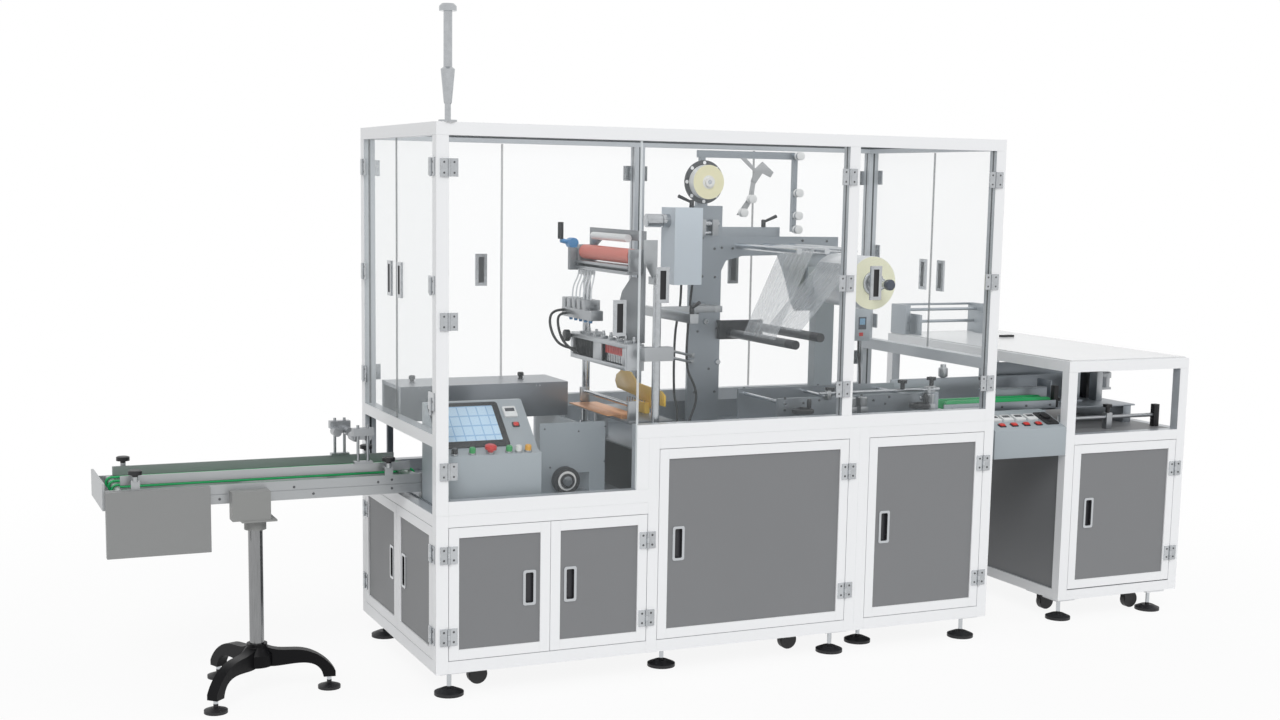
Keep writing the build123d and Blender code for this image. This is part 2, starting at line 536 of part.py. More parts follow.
# Hold-down rollers on the guide rails, where the packs leave the machine
with BuildPart() as hold_down_rollers:
    for x, y in ((-145.0, GUIDE_FRONT + 3), (-175.0, GUIDE_REAR + 3)):
        block(x - 32, x + 32, y - 12, y + 12, GUIDE_TOP, GUIDE_TOP + 8)
        for side in (-17, 17):
            rod((x + side, y, GUIDE_TOP + 8), (x + side, y, GUIDE_TOP + 132), 5)
        block(x - 36, x + 36, y - 14, y + 14, GUIDE_TOP + 96, GUIDE_TOP + 122)
        inward = 1 if y < MACHINE_DEPTH / 2 else -1
        for side in (-22, 22):
            rod((x + side, y + inward * 14, GUIDE_TOP + 88), (x + side, y + inward * 60, GUIDE_TOP + 88), 15)
        block(x - 30, x + 30, y + inward * 14 - 6, y + inward * 14 + 6, GUIDE_TOP + 80, GUIDE_TOP + 100)

# Stand under the conveyor
POLE_FOOT = 172.0
POLE_TOP = 560.0
with BuildPart() as stand_pole:
    rod((STAND_X, STAND_Y, POLE_FOOT), (STAND_X, STAND_Y, POLE_TOP), POLE_RADIUS)
with BuildPart() as stand_head:
    rod((STAND_X, STAND_Y, POLE_TOP), (STAND_X, STAND_Y, POLE_TOP + 34), 36)
    block(STAND_X - 55, STAND_X + 60, CONVEYOR_FRONT - 58, CONVEYOR_FRONT + 60, POLE_TOP + 34, POLE_TOP + 40)
    block(STAND_X - 85, STAND_X + 40, CONVEYOR_FRONT - 55, CONVEYOR_FRONT - JOINT, POLE_TOP + 40, 696)
    block(STAND_X - 20, STAND_X + 20, CONVEYOR_FRONT + 10, CONVEYOR_FRONT + 50, POLE_TOP + 40, CONVEYOR_BOTTOM)
with BuildPart() as stand_tripod:
    turned(STAND_X, STAND_Y, 96, ((0, 52), (40, 52), (66, 34), (76, 34)))
    for turn in TRIPOD_TURNS:
        out = Vector(cos(radians(turn)), sin(radians(turn)), 0)
        side_view = Plane(origin=shift(STAND_X, STAND_Y, 0), x_dir=out, z_dir=out.cross(Vector(0, 0, 1)))
        with BuildSketch(side_view) as leg:
            with BuildLine():
                top = Spline((20, 168), (60, 150), (150, 142), (215, 112), (TRIPOD_REACH + 20, 62))
                Line(top @ 1, (TRIPOD_REACH + 20, FOOT_TOP))
                Line((TRIPOD_REACH + 20, FOOT_TOP), (TRIPOD_REACH - 20, FOOT_TOP))
                under = Spline((TRIPOD_REACH - 20, FOOT_TOP), (190, 88), (130, 98), (20, 98))
                Line(under @ 1, (20, 168))
            make_face()
        extrude(leg.sketch, amount=TRIPOD_ARM / 2, both=True)

# Operator console in the low bay
CONSOLE_RIGHT = 445.0
with BuildPart() as control_housings:
    plate_xz([(INFEED_LEFT - 120, 675), (INFEED_LEFT - 120, 800), (INFEED_LEFT - JOINT, 850),
              (INFEED_LEFT - JOINT, 675)], 140, 560)
    plate_yz([(56, LOW_DECK + DECK_PLATE), (56, 800), (84, 812), (250, 925), (300, 925),
              (300, LOW_DECK + DECK_PLATE)], 44, CONSOLE_RIGHT)
with BuildPart() as console_controls:
    plate_yz([(100, 824), (235, 915.4), (231, 921), (96, 829.6)], 60, 320)
    for x in (78.0, 150.0, 235.0, 310.0, 390.0):
        rod((x, 72, 808), (x, 66, 826), 12)

# Discharge hood over the conveyor inside the low bay
with BuildPart() as discharge_hood:
    block(44, 684, 560, 800, 860, 985)
    block(43, 685, 585, 775, 850, 972, Mode.SUBTRACT)
    for x in (60.0, 640.0):
        block(x, x + 20, 780, 800, LOW_DECK + DECK_PLATE, 861)
PULLEY_X, PULLEY_Y, PULLEY_Z = 535.0, 200.0, 682.0
with BuildPart() as discharge_guards:
    plate_xz([(452, LOW_DECK + DECK_PLATE), (452, 880), (700, 880), (700, LOW_DECK + DECK_PLATE),
              (640, LOW_DECK + DECK_PLATE), (640, 700), (560, 700), (560, LOW_DECK + DECK_PLATE)], 240, 243)
    block(640, 650, 243, 780, LOW_DECK + DECK_PLATE, 860)
    block(PULLEY_X - 20, PULLEY_X + 20, PULLEY_Y + 14 + JOINT, 240, LOW_DECK + DECK_PLATE, PULLEY_Z + 20)

# Belt pulley in front of the grey sheet
with BuildPart() as belt_pulley:
    rod((PULLEY_X, PULLEY_Y - 14, PULLEY_Z), (PULLEY_X, PULLEY_Y + 14, PULLEY_Z), 48)
    rod((PULLEY_X, PULLEY_Y - 20, PULLEY_Z), (PULLEY_X, PULLEY_Y - 14, PULLEY_Z), 26)

# Sealing station across the machine
SEAL_X = 830.0
SEAL_FRONT, SEAL_REAR = 100.0, 800.0
SEAL_BASE = HIGH_DECK + DECK_PLATE
SEAL_TOP = 1350.0
with BuildPart() as sealing_station:
    for y in (SEAL_FRONT, SEAL_REAR):
        rod((SEAL_X, y, SEAL_BASE), (SEAL_X, y, SEAL_TOP), 17)
        block(SEAL_X - 30, SEAL_X + 30, y - 30, y + 30, SEAL_BASE, SEAL_BASE + 30)
    block(SEAL_X - 30, SEAL_X + 30, SEAL_FRONT - 30, SEAL_REAR + 30, SEAL_TOP, SEAL_TOP + 28)
    block(735, 805, 190, 830, 1040, 1115)
    for y in (SEAL_FRONT, SEAL_REAR):
        block(740, 860, y - 22, y + 22, 1060, 1100)
    block(780, 860, 230, 760, 905, 925)
    for y in (300.0, 500.0, 700.0):
        rod((SEAL_X - 20, y, 925), (SEAL_X - 20, y, 1040), 9)
    block(775, 812, 225, 770, SEAL_TOP + 28, 1400)
    for y in (240.0, 750.0):
        block(778, 822, y, y + 10, SEAL_TOP + 28, 1560)
    block(778, 822, 250, 750, 1545, 1560)
with BuildPart() as seal_roller:
    rod((790, 262, 1461), (790, 738, 1461), 35)
    rod((790, 250 + JOINT, 1461), (790, 750 - JOINT, 1461), 12)
with BuildPart() as sealer_cams:
    plate_yz([(160, 930), (160, 985), (420, 1010), (440, 1040), (470, 1040), (470, 960), (300, 930)], 880, 892)
    block(860, 892, 200, 460, 925, 930)
with BuildPart() as folder_plates:
    block(690, 780, 230, 800, 918, 922)
    block(700, 720, 230, 800, 922, 934)

# Film column at the rear, with its arm
COLUMN_X0, COLUMN_X1 = 1268.0, 1408.0
COLUMN_Y = 750.0
COLUMN_PLATE = 14.0
COLUMN_TOP = 1635.0
ARM_RIGHT = 1940.0
with BuildPart() as film_column:
    plate_xz([(COLUMN_X0, SEAL_BASE), (COLUMN_X0, COLUMN_TOP), (COLUMN_X1, COLUMN_TOP), (COLUMN_X1, 1517),
              (ARM_RIGHT, 1515), (ARM_RIGHT, 1446), (1500, 1439), (COLUMN_X1 + 20, 1420),
              (COLUMN_X1, 1380), (COLUMN_X1, SEAL_BASE)], COLUMN_Y, COLUMN_Y + COLUMN_PLATE)
    block(COLUMN_X0 + 30, COLUMN_X1 - 30, COLUMN_Y + COLUMN_PLATE, COLUMN_Y + 74, SEAL_BASE, COLUMN_TOP - 40)
    block(COLUMN_X1, 1700, COLUMN_Y + COLUMN_PLATE, COLUMN_Y + 50, 1450, 1490)
with BuildPart() as drive_covers:
    block(1150, COLUMN_X0 - JOINT, 640, 764, 1333, 1628)
    block(CONVEYOR_LEFT, CONVEYOR_LEFT + 327, CONVEYOR_FRONT - 26, CONVEYOR_FRONT - JOINT, 499, 714)
ROLL_X, ROLL_Z = 1840.0, 1354.0
ROLL_RADIUS = 118.0
BAR_RADIUS = 17.0
FILM_BARS = ((1445.0, 1135.0), (1550.0, 1160.0))
ROLL_FRONT, ROLL_REAR = 200.0, 700.0
with BuildPart() as film_guides:
    for x, z in FILM_BARS:
        rod((x, 205, z), (x, COLUMN_Y - 20, z), BAR_RADIUS)
    block(1396, 1590, COLUMN_Y - 20, COLUMN_Y, 1110, 1185)
    for x, z in ((1480.0, 1478.0), (1600.0, 1478.0), (1720.0, 1478.0)):
        rod((x, 260, z), (x, COLUMN_Y, z), 12)
    block(1840, 1925, 740, 790, SEAL_BASE, 1300)
    block(1800, 1925, COLUMN_Y + COLUMN_PLATE + JOINT, 790, 1300, 1490)
    block(ROLL_X - 40, ROLL_X + 40, COLUMN_Y - 4, 762, ROLL_Z - 40, ROLL_Z + 40)

# Tear tape reel and its tension arm on top of the column
TAPE_X, TAPE_Z = 1320.0, 1727.0
with BuildPart() as tape_reel:
    rod((TAPE_X, 700, TAPE_Z), (TAPE_X, 740, TAPE_Z), 66)
    rod((TAPE_X, 740.3, TAPE_Z), (TAPE_X, 746, TAPE_Z), 84)
    rod((TAPE_X, 690, TAPE_Z), (TAPE_X, 746, TAPE_Z), 18)
with BuildPart() as tape_support:
    block(TAPE_X - 22, TAPE_X + 22, 752, 776, COLUMN_TOP, 1760)
    rod((TAPE_X, 746.3, TAPE_Z), (TAPE_X, 752, TAPE_Z), 20)
    block(TAPE_X - 10, TAPE_X + 10, 752, 776, 1760, 1822)
    block(TAPE_X - 20, 1742, 752, 772, 1822, 1850)
    block(1724, 1742, 752, 772, 1535, 1822)
    for x, z in ((1733, 1836), (1733, 1690), (1733, 1600), (1733, 1545)):
        rod((x, 715, z), (x, 752, z), 14)

# Film roll on its shaft
with BuildPart() as film_roll:
    rod((ROLL_X, ROLL_FRONT, ROLL_Z), (ROLL_X, ROLL_REAR, ROLL_Z), ROLL_RADIUS)
    rod((ROLL_X, ROLL_FRONT - 60, ROLL_Z), (ROLL_X, ROLL_FRONT, ROLL_Z), 20)
    rod((ROLL_X, ROLL_REAR, ROLL_Z), (ROLL_X, COLUMN_Y - 4 - JOINT, ROLL_Z), 16)


def tangent_normal(x0, z0, r0, x1, z1, r1):
    """The direction out of two circles, square to the straight line that touches both from above."""
    along = atan2(z1 - z0, x1 - x0)
    slope = along + asin((r1 - r0) / hypot(x1 - x0, z1 - z0))
    return cos(slope + radians(90)), sin(slope + radians(90))


# Film drawn off the roll and over the nearer bar
WEB = 1.0
BAR_X, BAR_Z = FILM_BARS[1]
NORMAL_X, NORMAL_Z = tangent_normal(BAR_X, BAR_Z, BAR_RADIUS, ROLL_X, ROLL_Z, ROLL_RADIUS + JOINT)
with BuildPart() as film_web:
    web_ends = ((BAR_X, BAR_Z, BAR_RADIUS), (ROLL_X, ROLL_Z, ROLL_RADIUS + JOINT))
    under, over = [[(x + NORMAL_X * (r + lift), z + NORMAL_Z * (r + lift)) for x, z, r in web_ends]
                   for lift in (0.0, WEB)]
    plate_xz(under + over[::-1], 240, 690)

# Product bed between the side plates
with BuildPart() as product_bed:
    for y in (300.0, 620.0):
        block(1430, 2150, y, y + 10, 800, 925)
    for x in (1500.0, 1900.0, 2140.0):
        block(x - 20, x + 20, 310, 620, SEAL_BASE, 800)
        for y in (300.0, 620.0):
            block(x - 20, x + 20, y, y + 10, SEAL_BASE, 800)
    block(1430, 2150, 310, 620, 800, 806)
    for x in (1510.0, 2030.0):
        rod((x, 250, SEAL_BASE), (x, 250, 872), 14)
for number, x in (("1", 1510.0), ("2", 2030.0)):
    with BuildPart() as bed_handwheel:
        rod((x, 250, 872.3), (x, 250, 894), 42)
        rod((x + 26, 250, 894), (x + 26, 250, 945), 8)
    nodes["bed_handwheel_" + number] = bed_handwheel

# Infeed table
with BuildPart() as infeed_frame:
    for x0 in (INFEED_LEFT, INFEED_RIGHT - PROFILE):
        for y0 in (INFEED_FRONT, INFEED_REAR - PROFILE):
            block(x0, x0 + PROFILE, y0, y0 + PROFILE, FRAME_BOTTOM, INFEED_TOP - PROFILE)
        inner = (INFEED_FRONT + PROFILE + JOINT, INFEED_REAR - PROFILE - JOINT)
        for z0 in (FRAME_BOTTOM, INFEED_CABINET_TOP - TOP_RAIL):
            block(x0, x0 + PROFILE, *inner, z0, z0 + TOP_RAIL)
        block(x0, x0 + PROFILE, *inner, INFEED_TOP - PROFILE + JOINT, INFEED_TOP)
    for y0 in (INFEED_FRONT, INFEED_REAR - PROFILE):
        for z0 in (FRAME_BOTTOM, INFEED_CABINET_TOP - TOP_RAIL):
            block(INFEED_LEFT + PROFILE + JOINT, INFEED_RIGHT - PROFILE - JOINT, y0, y0 + PROFILE,
                  z0, z0 + TOP_RAIL)
        block(INFEED_LEFT, INFEED_RIGHT, y0, y0 + PROFILE, INFEED_TOP - PROFILE + JOINT, INFEED_TOP)
with BuildPart() as infeed_panels:
    inside = (INFEED_LEFT + PROFILE, INFEED_RIGHT - PROFILE)
    deep = (INFEED_FRONT + PROFILE, INFEED_REAR - PROFILE)
    block(*inside, *deep, FRAME_BOTTOM, FRAME_BOTTOM + SHEET)
    block(*inside, *deep, INFEED_CABINET_TOP - 6, INFEED_CABINET_TOP)
    for x in (INFEED_LEFT + 10, INFEED_RIGHT - 13):
        block(x, x + SHEET, *deep, FRAME_BOTTOM + TOP_RAIL, INFEED_CABINET_TOP - TOP_RAIL)
    block(*inside, INFEED_REAR - 13, INFEED_REAR - 10, FRAME_BOTTOM + TOP_RAIL, INFEED_CABINET_TOP - TOP_RAIL)
with BuildPart() as infeed_lid:
    block(INFEED_LEFT + 10, INFEED_RIGHT - 10, INFEED_FRONT + 10, INFEED_REAR - 10, INFEED_TOP, INFEED_TOP + 5)
with BuildPart() as infeed_mechanism:
    for y in (330.0, 640.0):
        block(2150 + JOINT, INFEED_RIGHT - 60, y, y + 10, 856, 935)
    for x in (2680.0, 3120.0):
        block(x - 20, x + 20, 330, 650, INFEED_CABINET_TOP, 862)
    block(2150 + JOINT, INFEED_RIGHT - 60, 340, 640, 856, 864)
with BuildPart() as magazine:
    for x in (INFEED_LEFT + 6, INFEED_RIGHT - 36):
        block(x, x + 30, INFEED_REAR - 130, INFEED_REAR - 10, INFEED_TOP + 5, 1190)
    for z in (1110.0, 1172.0):
        rod((INFEED_LEFT + 36, INFEED_REAR - 70, z), (INFEED_RIGHT - 36, INFEED_REAR - 70, z), 7)

nodes.update({
    "base_frame": base_frame, "guard_frame": guard_frame, "deck": deck, "cabinet_panels": cabinet_panels,
    "levelling_feet": levelling_feet, "casters": casters, "fixed_fittings": fixed_fittings,
    "guard_doors": guard_doors, "signal_tower": signal_tower, "outfeed_conveyor": outfeed_conveyor,
    "outfeed_guides": outfeed_guides, "conveyor_belts": conveyor_belts,
    "hold_down_rollers": hold_down_rollers, "stand_pole": stand_pole, "stand_head": stand_head,
    "stand_tripod": stand_tripod, "control_housings": control_housings,
    "console_controls": console_controls, "discharge_hood": discharge_hood,
    "discharge_guards": discharge_guards, "belt_pulley": belt_pulley, "sealing_station": sealing_station,
    "seal_roller": seal_roller, "sealer_cams": sealer_cams, "folder_plates": folder_plates,
    "film_column": film_column, "drive_covers": drive_covers, "film_guides": film_guides,
    "tape_reel": tape_reel, "tape_support": tape_support, "film_roll": film_roll, "film_web": film_web,
    "product_bed": product_bed, "infeed_frame": infeed_frame, "infeed_panels": infeed_panels,
    "infeed_lid": infeed_lid, "infeed_mechanism": infeed_mechanism, "magazine": magazine,
})

os.makedirs("parts", exist_ok=True)
for name, piece in nodes.items():
    piece.part.label = name
    export_step(piece.part, f"parts/{name}.step")
print(len(nodes), "nodes")
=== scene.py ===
"""Looks of the overwrapping machine: finishes, fastenings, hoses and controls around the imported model.

Lengths are millimetres of the machine, with x from its left face, y from its front face and z
above the floor, until place() turns them into metres of the shared frame.
"""
import json
import math

import bmesh
import bpy
from mathutils import Matrix, Vector
from mathutils.bvhtree import BVHTree


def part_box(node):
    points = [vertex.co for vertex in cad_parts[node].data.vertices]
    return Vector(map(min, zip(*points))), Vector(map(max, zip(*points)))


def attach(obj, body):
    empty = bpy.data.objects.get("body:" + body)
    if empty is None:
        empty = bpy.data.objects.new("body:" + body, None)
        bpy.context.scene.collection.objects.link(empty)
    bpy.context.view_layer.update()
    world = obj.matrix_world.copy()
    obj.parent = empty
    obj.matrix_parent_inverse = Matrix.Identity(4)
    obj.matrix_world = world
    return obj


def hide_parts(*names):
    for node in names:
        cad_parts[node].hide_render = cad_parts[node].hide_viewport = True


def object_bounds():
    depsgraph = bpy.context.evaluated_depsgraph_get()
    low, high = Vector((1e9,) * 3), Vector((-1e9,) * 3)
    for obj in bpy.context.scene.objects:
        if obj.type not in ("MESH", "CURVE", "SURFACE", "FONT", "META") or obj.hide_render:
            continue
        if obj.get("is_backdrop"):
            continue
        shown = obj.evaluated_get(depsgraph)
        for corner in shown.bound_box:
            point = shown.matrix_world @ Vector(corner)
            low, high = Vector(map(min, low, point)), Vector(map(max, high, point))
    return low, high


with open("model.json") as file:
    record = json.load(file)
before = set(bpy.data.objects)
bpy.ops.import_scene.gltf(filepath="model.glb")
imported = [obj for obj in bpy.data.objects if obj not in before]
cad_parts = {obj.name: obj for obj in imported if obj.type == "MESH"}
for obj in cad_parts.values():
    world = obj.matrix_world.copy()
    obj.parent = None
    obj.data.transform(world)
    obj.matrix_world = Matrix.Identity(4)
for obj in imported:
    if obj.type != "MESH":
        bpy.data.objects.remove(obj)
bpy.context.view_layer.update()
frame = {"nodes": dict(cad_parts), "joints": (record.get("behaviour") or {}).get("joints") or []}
nodes = frame["nodes"]

# Sizes of the machine that the looks refer to
MM = 1000
ORIGIN = 66.0
LENGTH, DEPTH, HEIGHT = 2200.0, 920.0, 1900.0
PROFILE = 42.0
TABLE_LEFT, TABLE_RIGHT, TABLE_FRONT, TABLE_REAR, TABLE_TOP = 2618.0, 3221.0, 92.0, 1402.0, 1052.0
TABLE_DECK = 760.0
BED_TOP = 778.0
LOW_DOOR_TOP = 625.0
GUARD_POSTS = (1528.0, 1085.0)
REAR_SPLITS, FRONT_SPLIT = (548.0, 1631.0), 716.0
CONSOLE_LEFT = 44.0
ROLL_X, ROLL_Z, ROLL_FRONT = 1840.0, 1354.0, 317.0
ROLL_RADIUS, ROLL_LENGTH = 102.0, 283.0
ROLL_GRIP_END = 216.0
TAPE = (1320.0, 1727.0)
PULLEY = (535.0, 682.0)
DOORS = ("front_door_1", "front_door_2", "front_door_3", "front_door_4", "side_door_front",
         "side_door_rear", "table_door")
UP, BACKWARD, RIGHTWARD = (0, 0, 1), (0, 1, 0), (1, 0, 0)


def place(x, y, z):
    """A point of the machine in metres of the shared frame."""
    return Vector(((x - ORIGIN) / MM, (y - ORIGIN) / MM, z / MM))


def unplace(point):
    """A point of the shared frame in millimetres of the machine."""
    return point * MM + Vector((ORIGIN, ORIGIN, 0))


def window(node):
    """The corners of a node's box in machine millimetres."""
    low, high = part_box(node)
    return unplace(low), unplace(high)


def stand(name, data):
    """A new object of the scene, at the origin."""
    made = bpy.data.objects.new(name, data)
    bpy.context.scene.collection.objects.link(made)
    return made


def circle(sides):
    """Directions evenly spaced around a circle, each as a cosine and a sine."""
    angles = [math.tau * number / sides for number in range(sides)]
    return [(math.cos(angle), math.sin(angle)) for angle in angles]


# Camera at the photograph's place
CAMERA_PLACE = Vector((-1.68446, -5.22521, 1.70841))
YAW, PITCH, TILT = math.radians(24.508), math.radians(-7.825), math.radians(0.990)
LENS, SENSOR = 47.02, 36
SHIFT = (-0.0017, 0.0434)
FARTHEST = 100
ahead = Vector((math.sin(YAW) * math.cos(PITCH), math.cos(YAW) * math.cos(PITCH), math.sin(PITCH)))
level = Vector((math.cos(YAW), -math.sin(YAW), 0))
upright = level.cross(ahead)
across = level * math.cos(TILT) + upright * math.sin(TILT)
above = upright * math.cos(TILT) - level * math.sin(TILT)
camera_data = bpy.data.cameras.new("camera")
camera_data.sensor_width = SENSOR
camera_data.lens = LENS
camera_data.shift_x, camera_data.shift_y = SHIFT
camera_data.clip_end = FARTHEST
camera = stand("camera", camera_data)
turn = Matrix((across, above, -ahead)).transposed()
camera.matrix_world = Matrix.Translation(CAMERA_PLACE) @ turn.to_4x4()
bpy.context.scene.camera = camera


# Finishes
def applied(operation, swapped=False):
    """The method of a Value that stands for one of Python's operators."""
    def method(self, other):
        pair = (other, self) if swapped else (self, other)
        return self.finish.math(operation, *pair)
    return method


class Value:
    """One output of a shader node, which Python's own operators work on."""

    def __init__(self, finish, socket):
        self.finish = finish
        self.socket = socket

    __add__ = applied("ADD")
    __radd__ = applied("ADD", swapped=True)
    __sub__ = applied("SUBTRACT")
    __rsub__ = applied("SUBTRACT", swapped=True)
    __mul__ = applied("MULTIPLY")
    __rmul__ = applied("MULTIPLY", swapped=True)
    __gt__ = applied("GREATER_THAN")
    __lt__ = applied("LESS_THAN")
    __and__ = applied("MINIMUM")
    __or__ = applied("MAXIMUM")


class Finish:
    """One material, built node by node."""

    def __init__(self, name):
        self.material = bpy.data.materials.new(name)
        self.material.use_nodes = True
        self.tree = self.material.node_tree
        self.tree.nodes.clear()
        self.end = self.tree.nodes.new("ShaderNodeOutputMaterial")
        self.points = None
        self.directions = None

    def node(self, kind, settings=None, sockets=None, output=0):
        """A node with its settings set first, then the values or links of its sockets."""
        made = self.tree.nodes.new("ShaderNode" + kind)
        for key, value in (settings or {}).items():
            setattr(made, key, value)
        for key, value in (sockets or {}).items():
            if isinstance(value, Value):
                self.tree.links.new(value.socket, made.inputs[key])
            elif isinstance(value, tuple) and made.inputs[key].type == "RGBA":
                made.inputs[key].default_value = (*value, 1)
            else:
                made.inputs[key].default_value = value
        return Value(self, made.outputs[output])

    def math(self, operation, *values):
        return self.node("Math", {"operation": operation}, dict(enumerate(values)))

    def parts(self, vector):
        """The x, y and z of a vector."""
        split = self.node("SeparateXYZ", sockets={0: vector})
        return [Value(self, output) for output in split.socket.node.outputs]

    def place(self):
        """The point on the piece, in metres of the shared frame."""
        if self.points is None:
            self.points = self.node("TexCoord", output="Object")
        return self.points

    def axes(self):
        """The machine's x, y and z in millimetres, as three values."""
        if self.directions is None:
            x, y, z = self.parts(self.place())
            self.directions = x * MM + ORIGIN, y * MM + ORIGIN, z * MM
        return self.directions

    def noise(self, scale, detail=3.0, stretch=None):
        """Fine irregularity of a surface, from 0 to 1."""
        points = self.place()
        if stretch:
            points = self.node("Mapping", sockets={"Vector": points, "Scale": stretch})
        return self.node("TexNoise", sockets={"Vector": points, "Scale": scale, "Detail": detail})

    def blend(self, share, first, second):
        """A colour between two colours, or two colour values."""
        return self.node("Mix", {"data_type": "RGBA"}, {0: share, 6: first, 7: second}, output=2)

    def bump(self, height, strength, distance=0.0005):
        return self.node("Bump", sockets={"Height": height, "Strength": strength, "Distance": distance})

    def rim(self, share=0.35):
        """How far the surface is turned away from the eye, from 0 to 1."""
        return self.node("LayerWeight", sockets={"Blend": share}, output="Facing")

    def around(self, u, v):
        """The length of two values at right angles."""
        return self.math("SQRT", u * u + v * v)

    def coat(self, **sockets):
        """The surface itself: the Principled shader with its sockets given by name."""
        named = {key.replace("_", " ").title().replace("Ior", "IOR"): value for key, value in sockets.items()}
        shader = self.node("BsdfPrincipled", sockets=named)
        self.tree.links.new(shader.socket, self.end.inputs["Surface"])
        return self.material


def inside(value, low, high):
    """1 where a value lies between two limits."""
    return (value > low) & (value < high)


def near(value, middle, half):
    """1 where a value lies closer to a middle than half a band."""
    return inside(value, middle - half, middle + half)


def spot(finish, x_band, y_band, z_band):
    """1 inside a box of the machine, given as bands of x, y and z; None leaves a band open."""
    found = None
    for value, band in zip(finish.axes(), (x_band, y_band, z_band)):
        if band:
            share = inside(value, *band)
            found = share if found is None else found & share
    return found


def from_axis(finish, x_middle, z_middle):
    """The distance in millimetres from an axis that runs from front to back."""
    x, y, z = finish.axes()
    return finish.around(x - x_middle, z - z_middle)


def shade(colour, share):
    """A colour made darker or lighter."""
    return tuple(min(1, part * share) for part in colour)


# Scales of the noises: orange peel, drawn lines, moulded grain, wear, fine marks and smears
PEEL, LINES, GRAIN, WEAR, MARKS, SMEAR = 420, 60, 700, 60, 300, 3


def paint(name, colour, roughness=0.38):
    """Powder coat: a faint orange peel and hardly any change of tone."""
    finish = Finish(name)
    peel = finish.noise(PEEL, 2)
    drift = finish.noise(5, 2)
    tone = finish.blend(drift, shade(colour, 0.98), shade(colour, 1.02))
    return finish.coat(base_color=tone, roughness=roughness + 0.08 * drift, normal=finish.bump(peel, 0.12))


def metal(name, colour, roughness, brushed=None, spread=0.12, metallic=1.0):
    """Bare or plated metal, with drawn lines along one direction where it is brushed."""
    finish = Finish(name)
    lines = finish.noise(LINES, 4, brushed or (1, 1, 1))
    tone = finish.blend(lines, shade(colour, 1 - spread), colour)
    sockets = {"base_color": tone, "metallic": metallic, "roughness": roughness + 0.1 * lines}
    if brushed:
        sockets["normal"] = finish.bump(lines, 0.08)
    return finish.coat(**sockets)


def plastic(name, colour, roughness=0.4, metallic=0.0, gloss=0.5):
    """Moulded plastic or rubber with a fine grain."""
    finish = Finish(name)
    grain = finish.noise(GRAIN, 2)
    tone = finish.blend(grain, shade(colour, 0.9), colour)
    return finish.coat(base_color=tone, roughness=roughness + 0.08 * grain, metallic=metallic,
                       specular_ior_level=gloss, normal=finish.bump(grain, 0.08))


def patched(name, base, patches, roughness=0.35, metallic=0.0):
    """A finish with other colours inside boxes: each patch is its bands, colour, metal and roughness."""
    finish = Finish(name)
    marks = finish.noise(MARKS, 2)
    tone, rough, shine = base, roughness, metallic
    for bands, colour, patch_metal, patch_rough in patches:
        share = spot(finish, *bands)
        tone = finish.blend(share, tone, colour)
        rough = rough + share * (patch_rough - rough)
        shine = shine + share * (patch_metal - shine)
    return finish.coat(base_color=tone, metallic=shine, roughness=rough + 0.05 * marks,
                       normal=finish.bump(marks, 0.06))


WHITE = (0.88, 0.89, 0.905)
SILVER = (0.50, 0.53, 0.56)
PANEL = (0.205, 0.21, 0.218)
CHROME = (0.54, 0.56, 0.58)
NICKEL = (0.40, 0.415, 0.43)
BLACK = (0.010, 0.010, 0.012)
RUBBER = (0.02, 0.02, 0.021)
STEEL = (0.33, 0.36, 0.39)
CLEAN_STEEL = (0.45, 0.465, 0.475)
PALE = (0.37, 0.415, 0.445)
COVER = (0.60, 0.67, 0.73)
HUNG_PLATE = (0.265, 0.27, 0.27)
SLOT_SHADE = (0.05, 0.055, 0.06)
METER_WHITE = (0.78, 0.80, 0.80)
ROCKER_RED = (0.66, 0.03, 0.02)
CAP_GREEN = (0.02, 0.33, 0.08)

panel_paint = paint("grey panel paint", PANEL, roughness=0.45)
head_paint = paint("stand head paint", (0.27, 0.275, 0.27), 0.42)
guard_sheet = paint("guard sheet paint", (0.31, 0.35, 0.38), 0.42)
plate_steel = metal("brushed plate", STEEL, 0.34, brushed=(1, 12, 12), metallic=0.85)
hood_steel = metal("mirror sheet", (0.235, 0.255, 0.28), 0.24, brushed=(6, 30, 30), spread=0.05, metallic=0.9)
bright_steel = metal("bright steel", CHROME, 0.12, spread=0.3)
pole_steel = metal("polished pole", (0.34, 0.345, 0.35), 0.1, brushed=(8, 8, 0.3), spread=0.45)
alloy = metal("satin alloy", NICKEL, 0.3)
screw_steel = metal("dark screw steel", (0.14, 0.145, 0.15), 0.3)
arch_steel = metal("dark plate", (0.25, 0.265, 0.28), 0.36, brushed=(12, 12, 1), metallic=0.85)
heater_alloy = metal("heater sheet", (0.52, 0.54, 0.56), 0.35, brushed=(1, 1, 14), metallic=0.85)
copper = metal("copper strip", (0.75, 0.36, 0.15), 0.35)
black_plastic = plastic("black plastic", BLACK)
black_rubber = plastic("black rubber", RUBBER, 0.6)
black_enamel = plastic("black enamel", (0.003, 0.003, 0.004), 0.35, gloss=0.15)
red_rubber = plastic("red silicone", (0.76, 0.20, 0.15), 0.42)
belt_green = plastic("green belt", (0.012, 0.40, 0.12), 0.4)
amber = plastic("amber cam plate", (0.82, 0.52, 0.04), 0.25)
clear_tube = plastic("clear tube", (0.80, 0.83, 0.85), 0.15)
silver_plastic = plastic("silver arm", (0.42, 0.43, 0.44), 0.3, metallic=0.5)


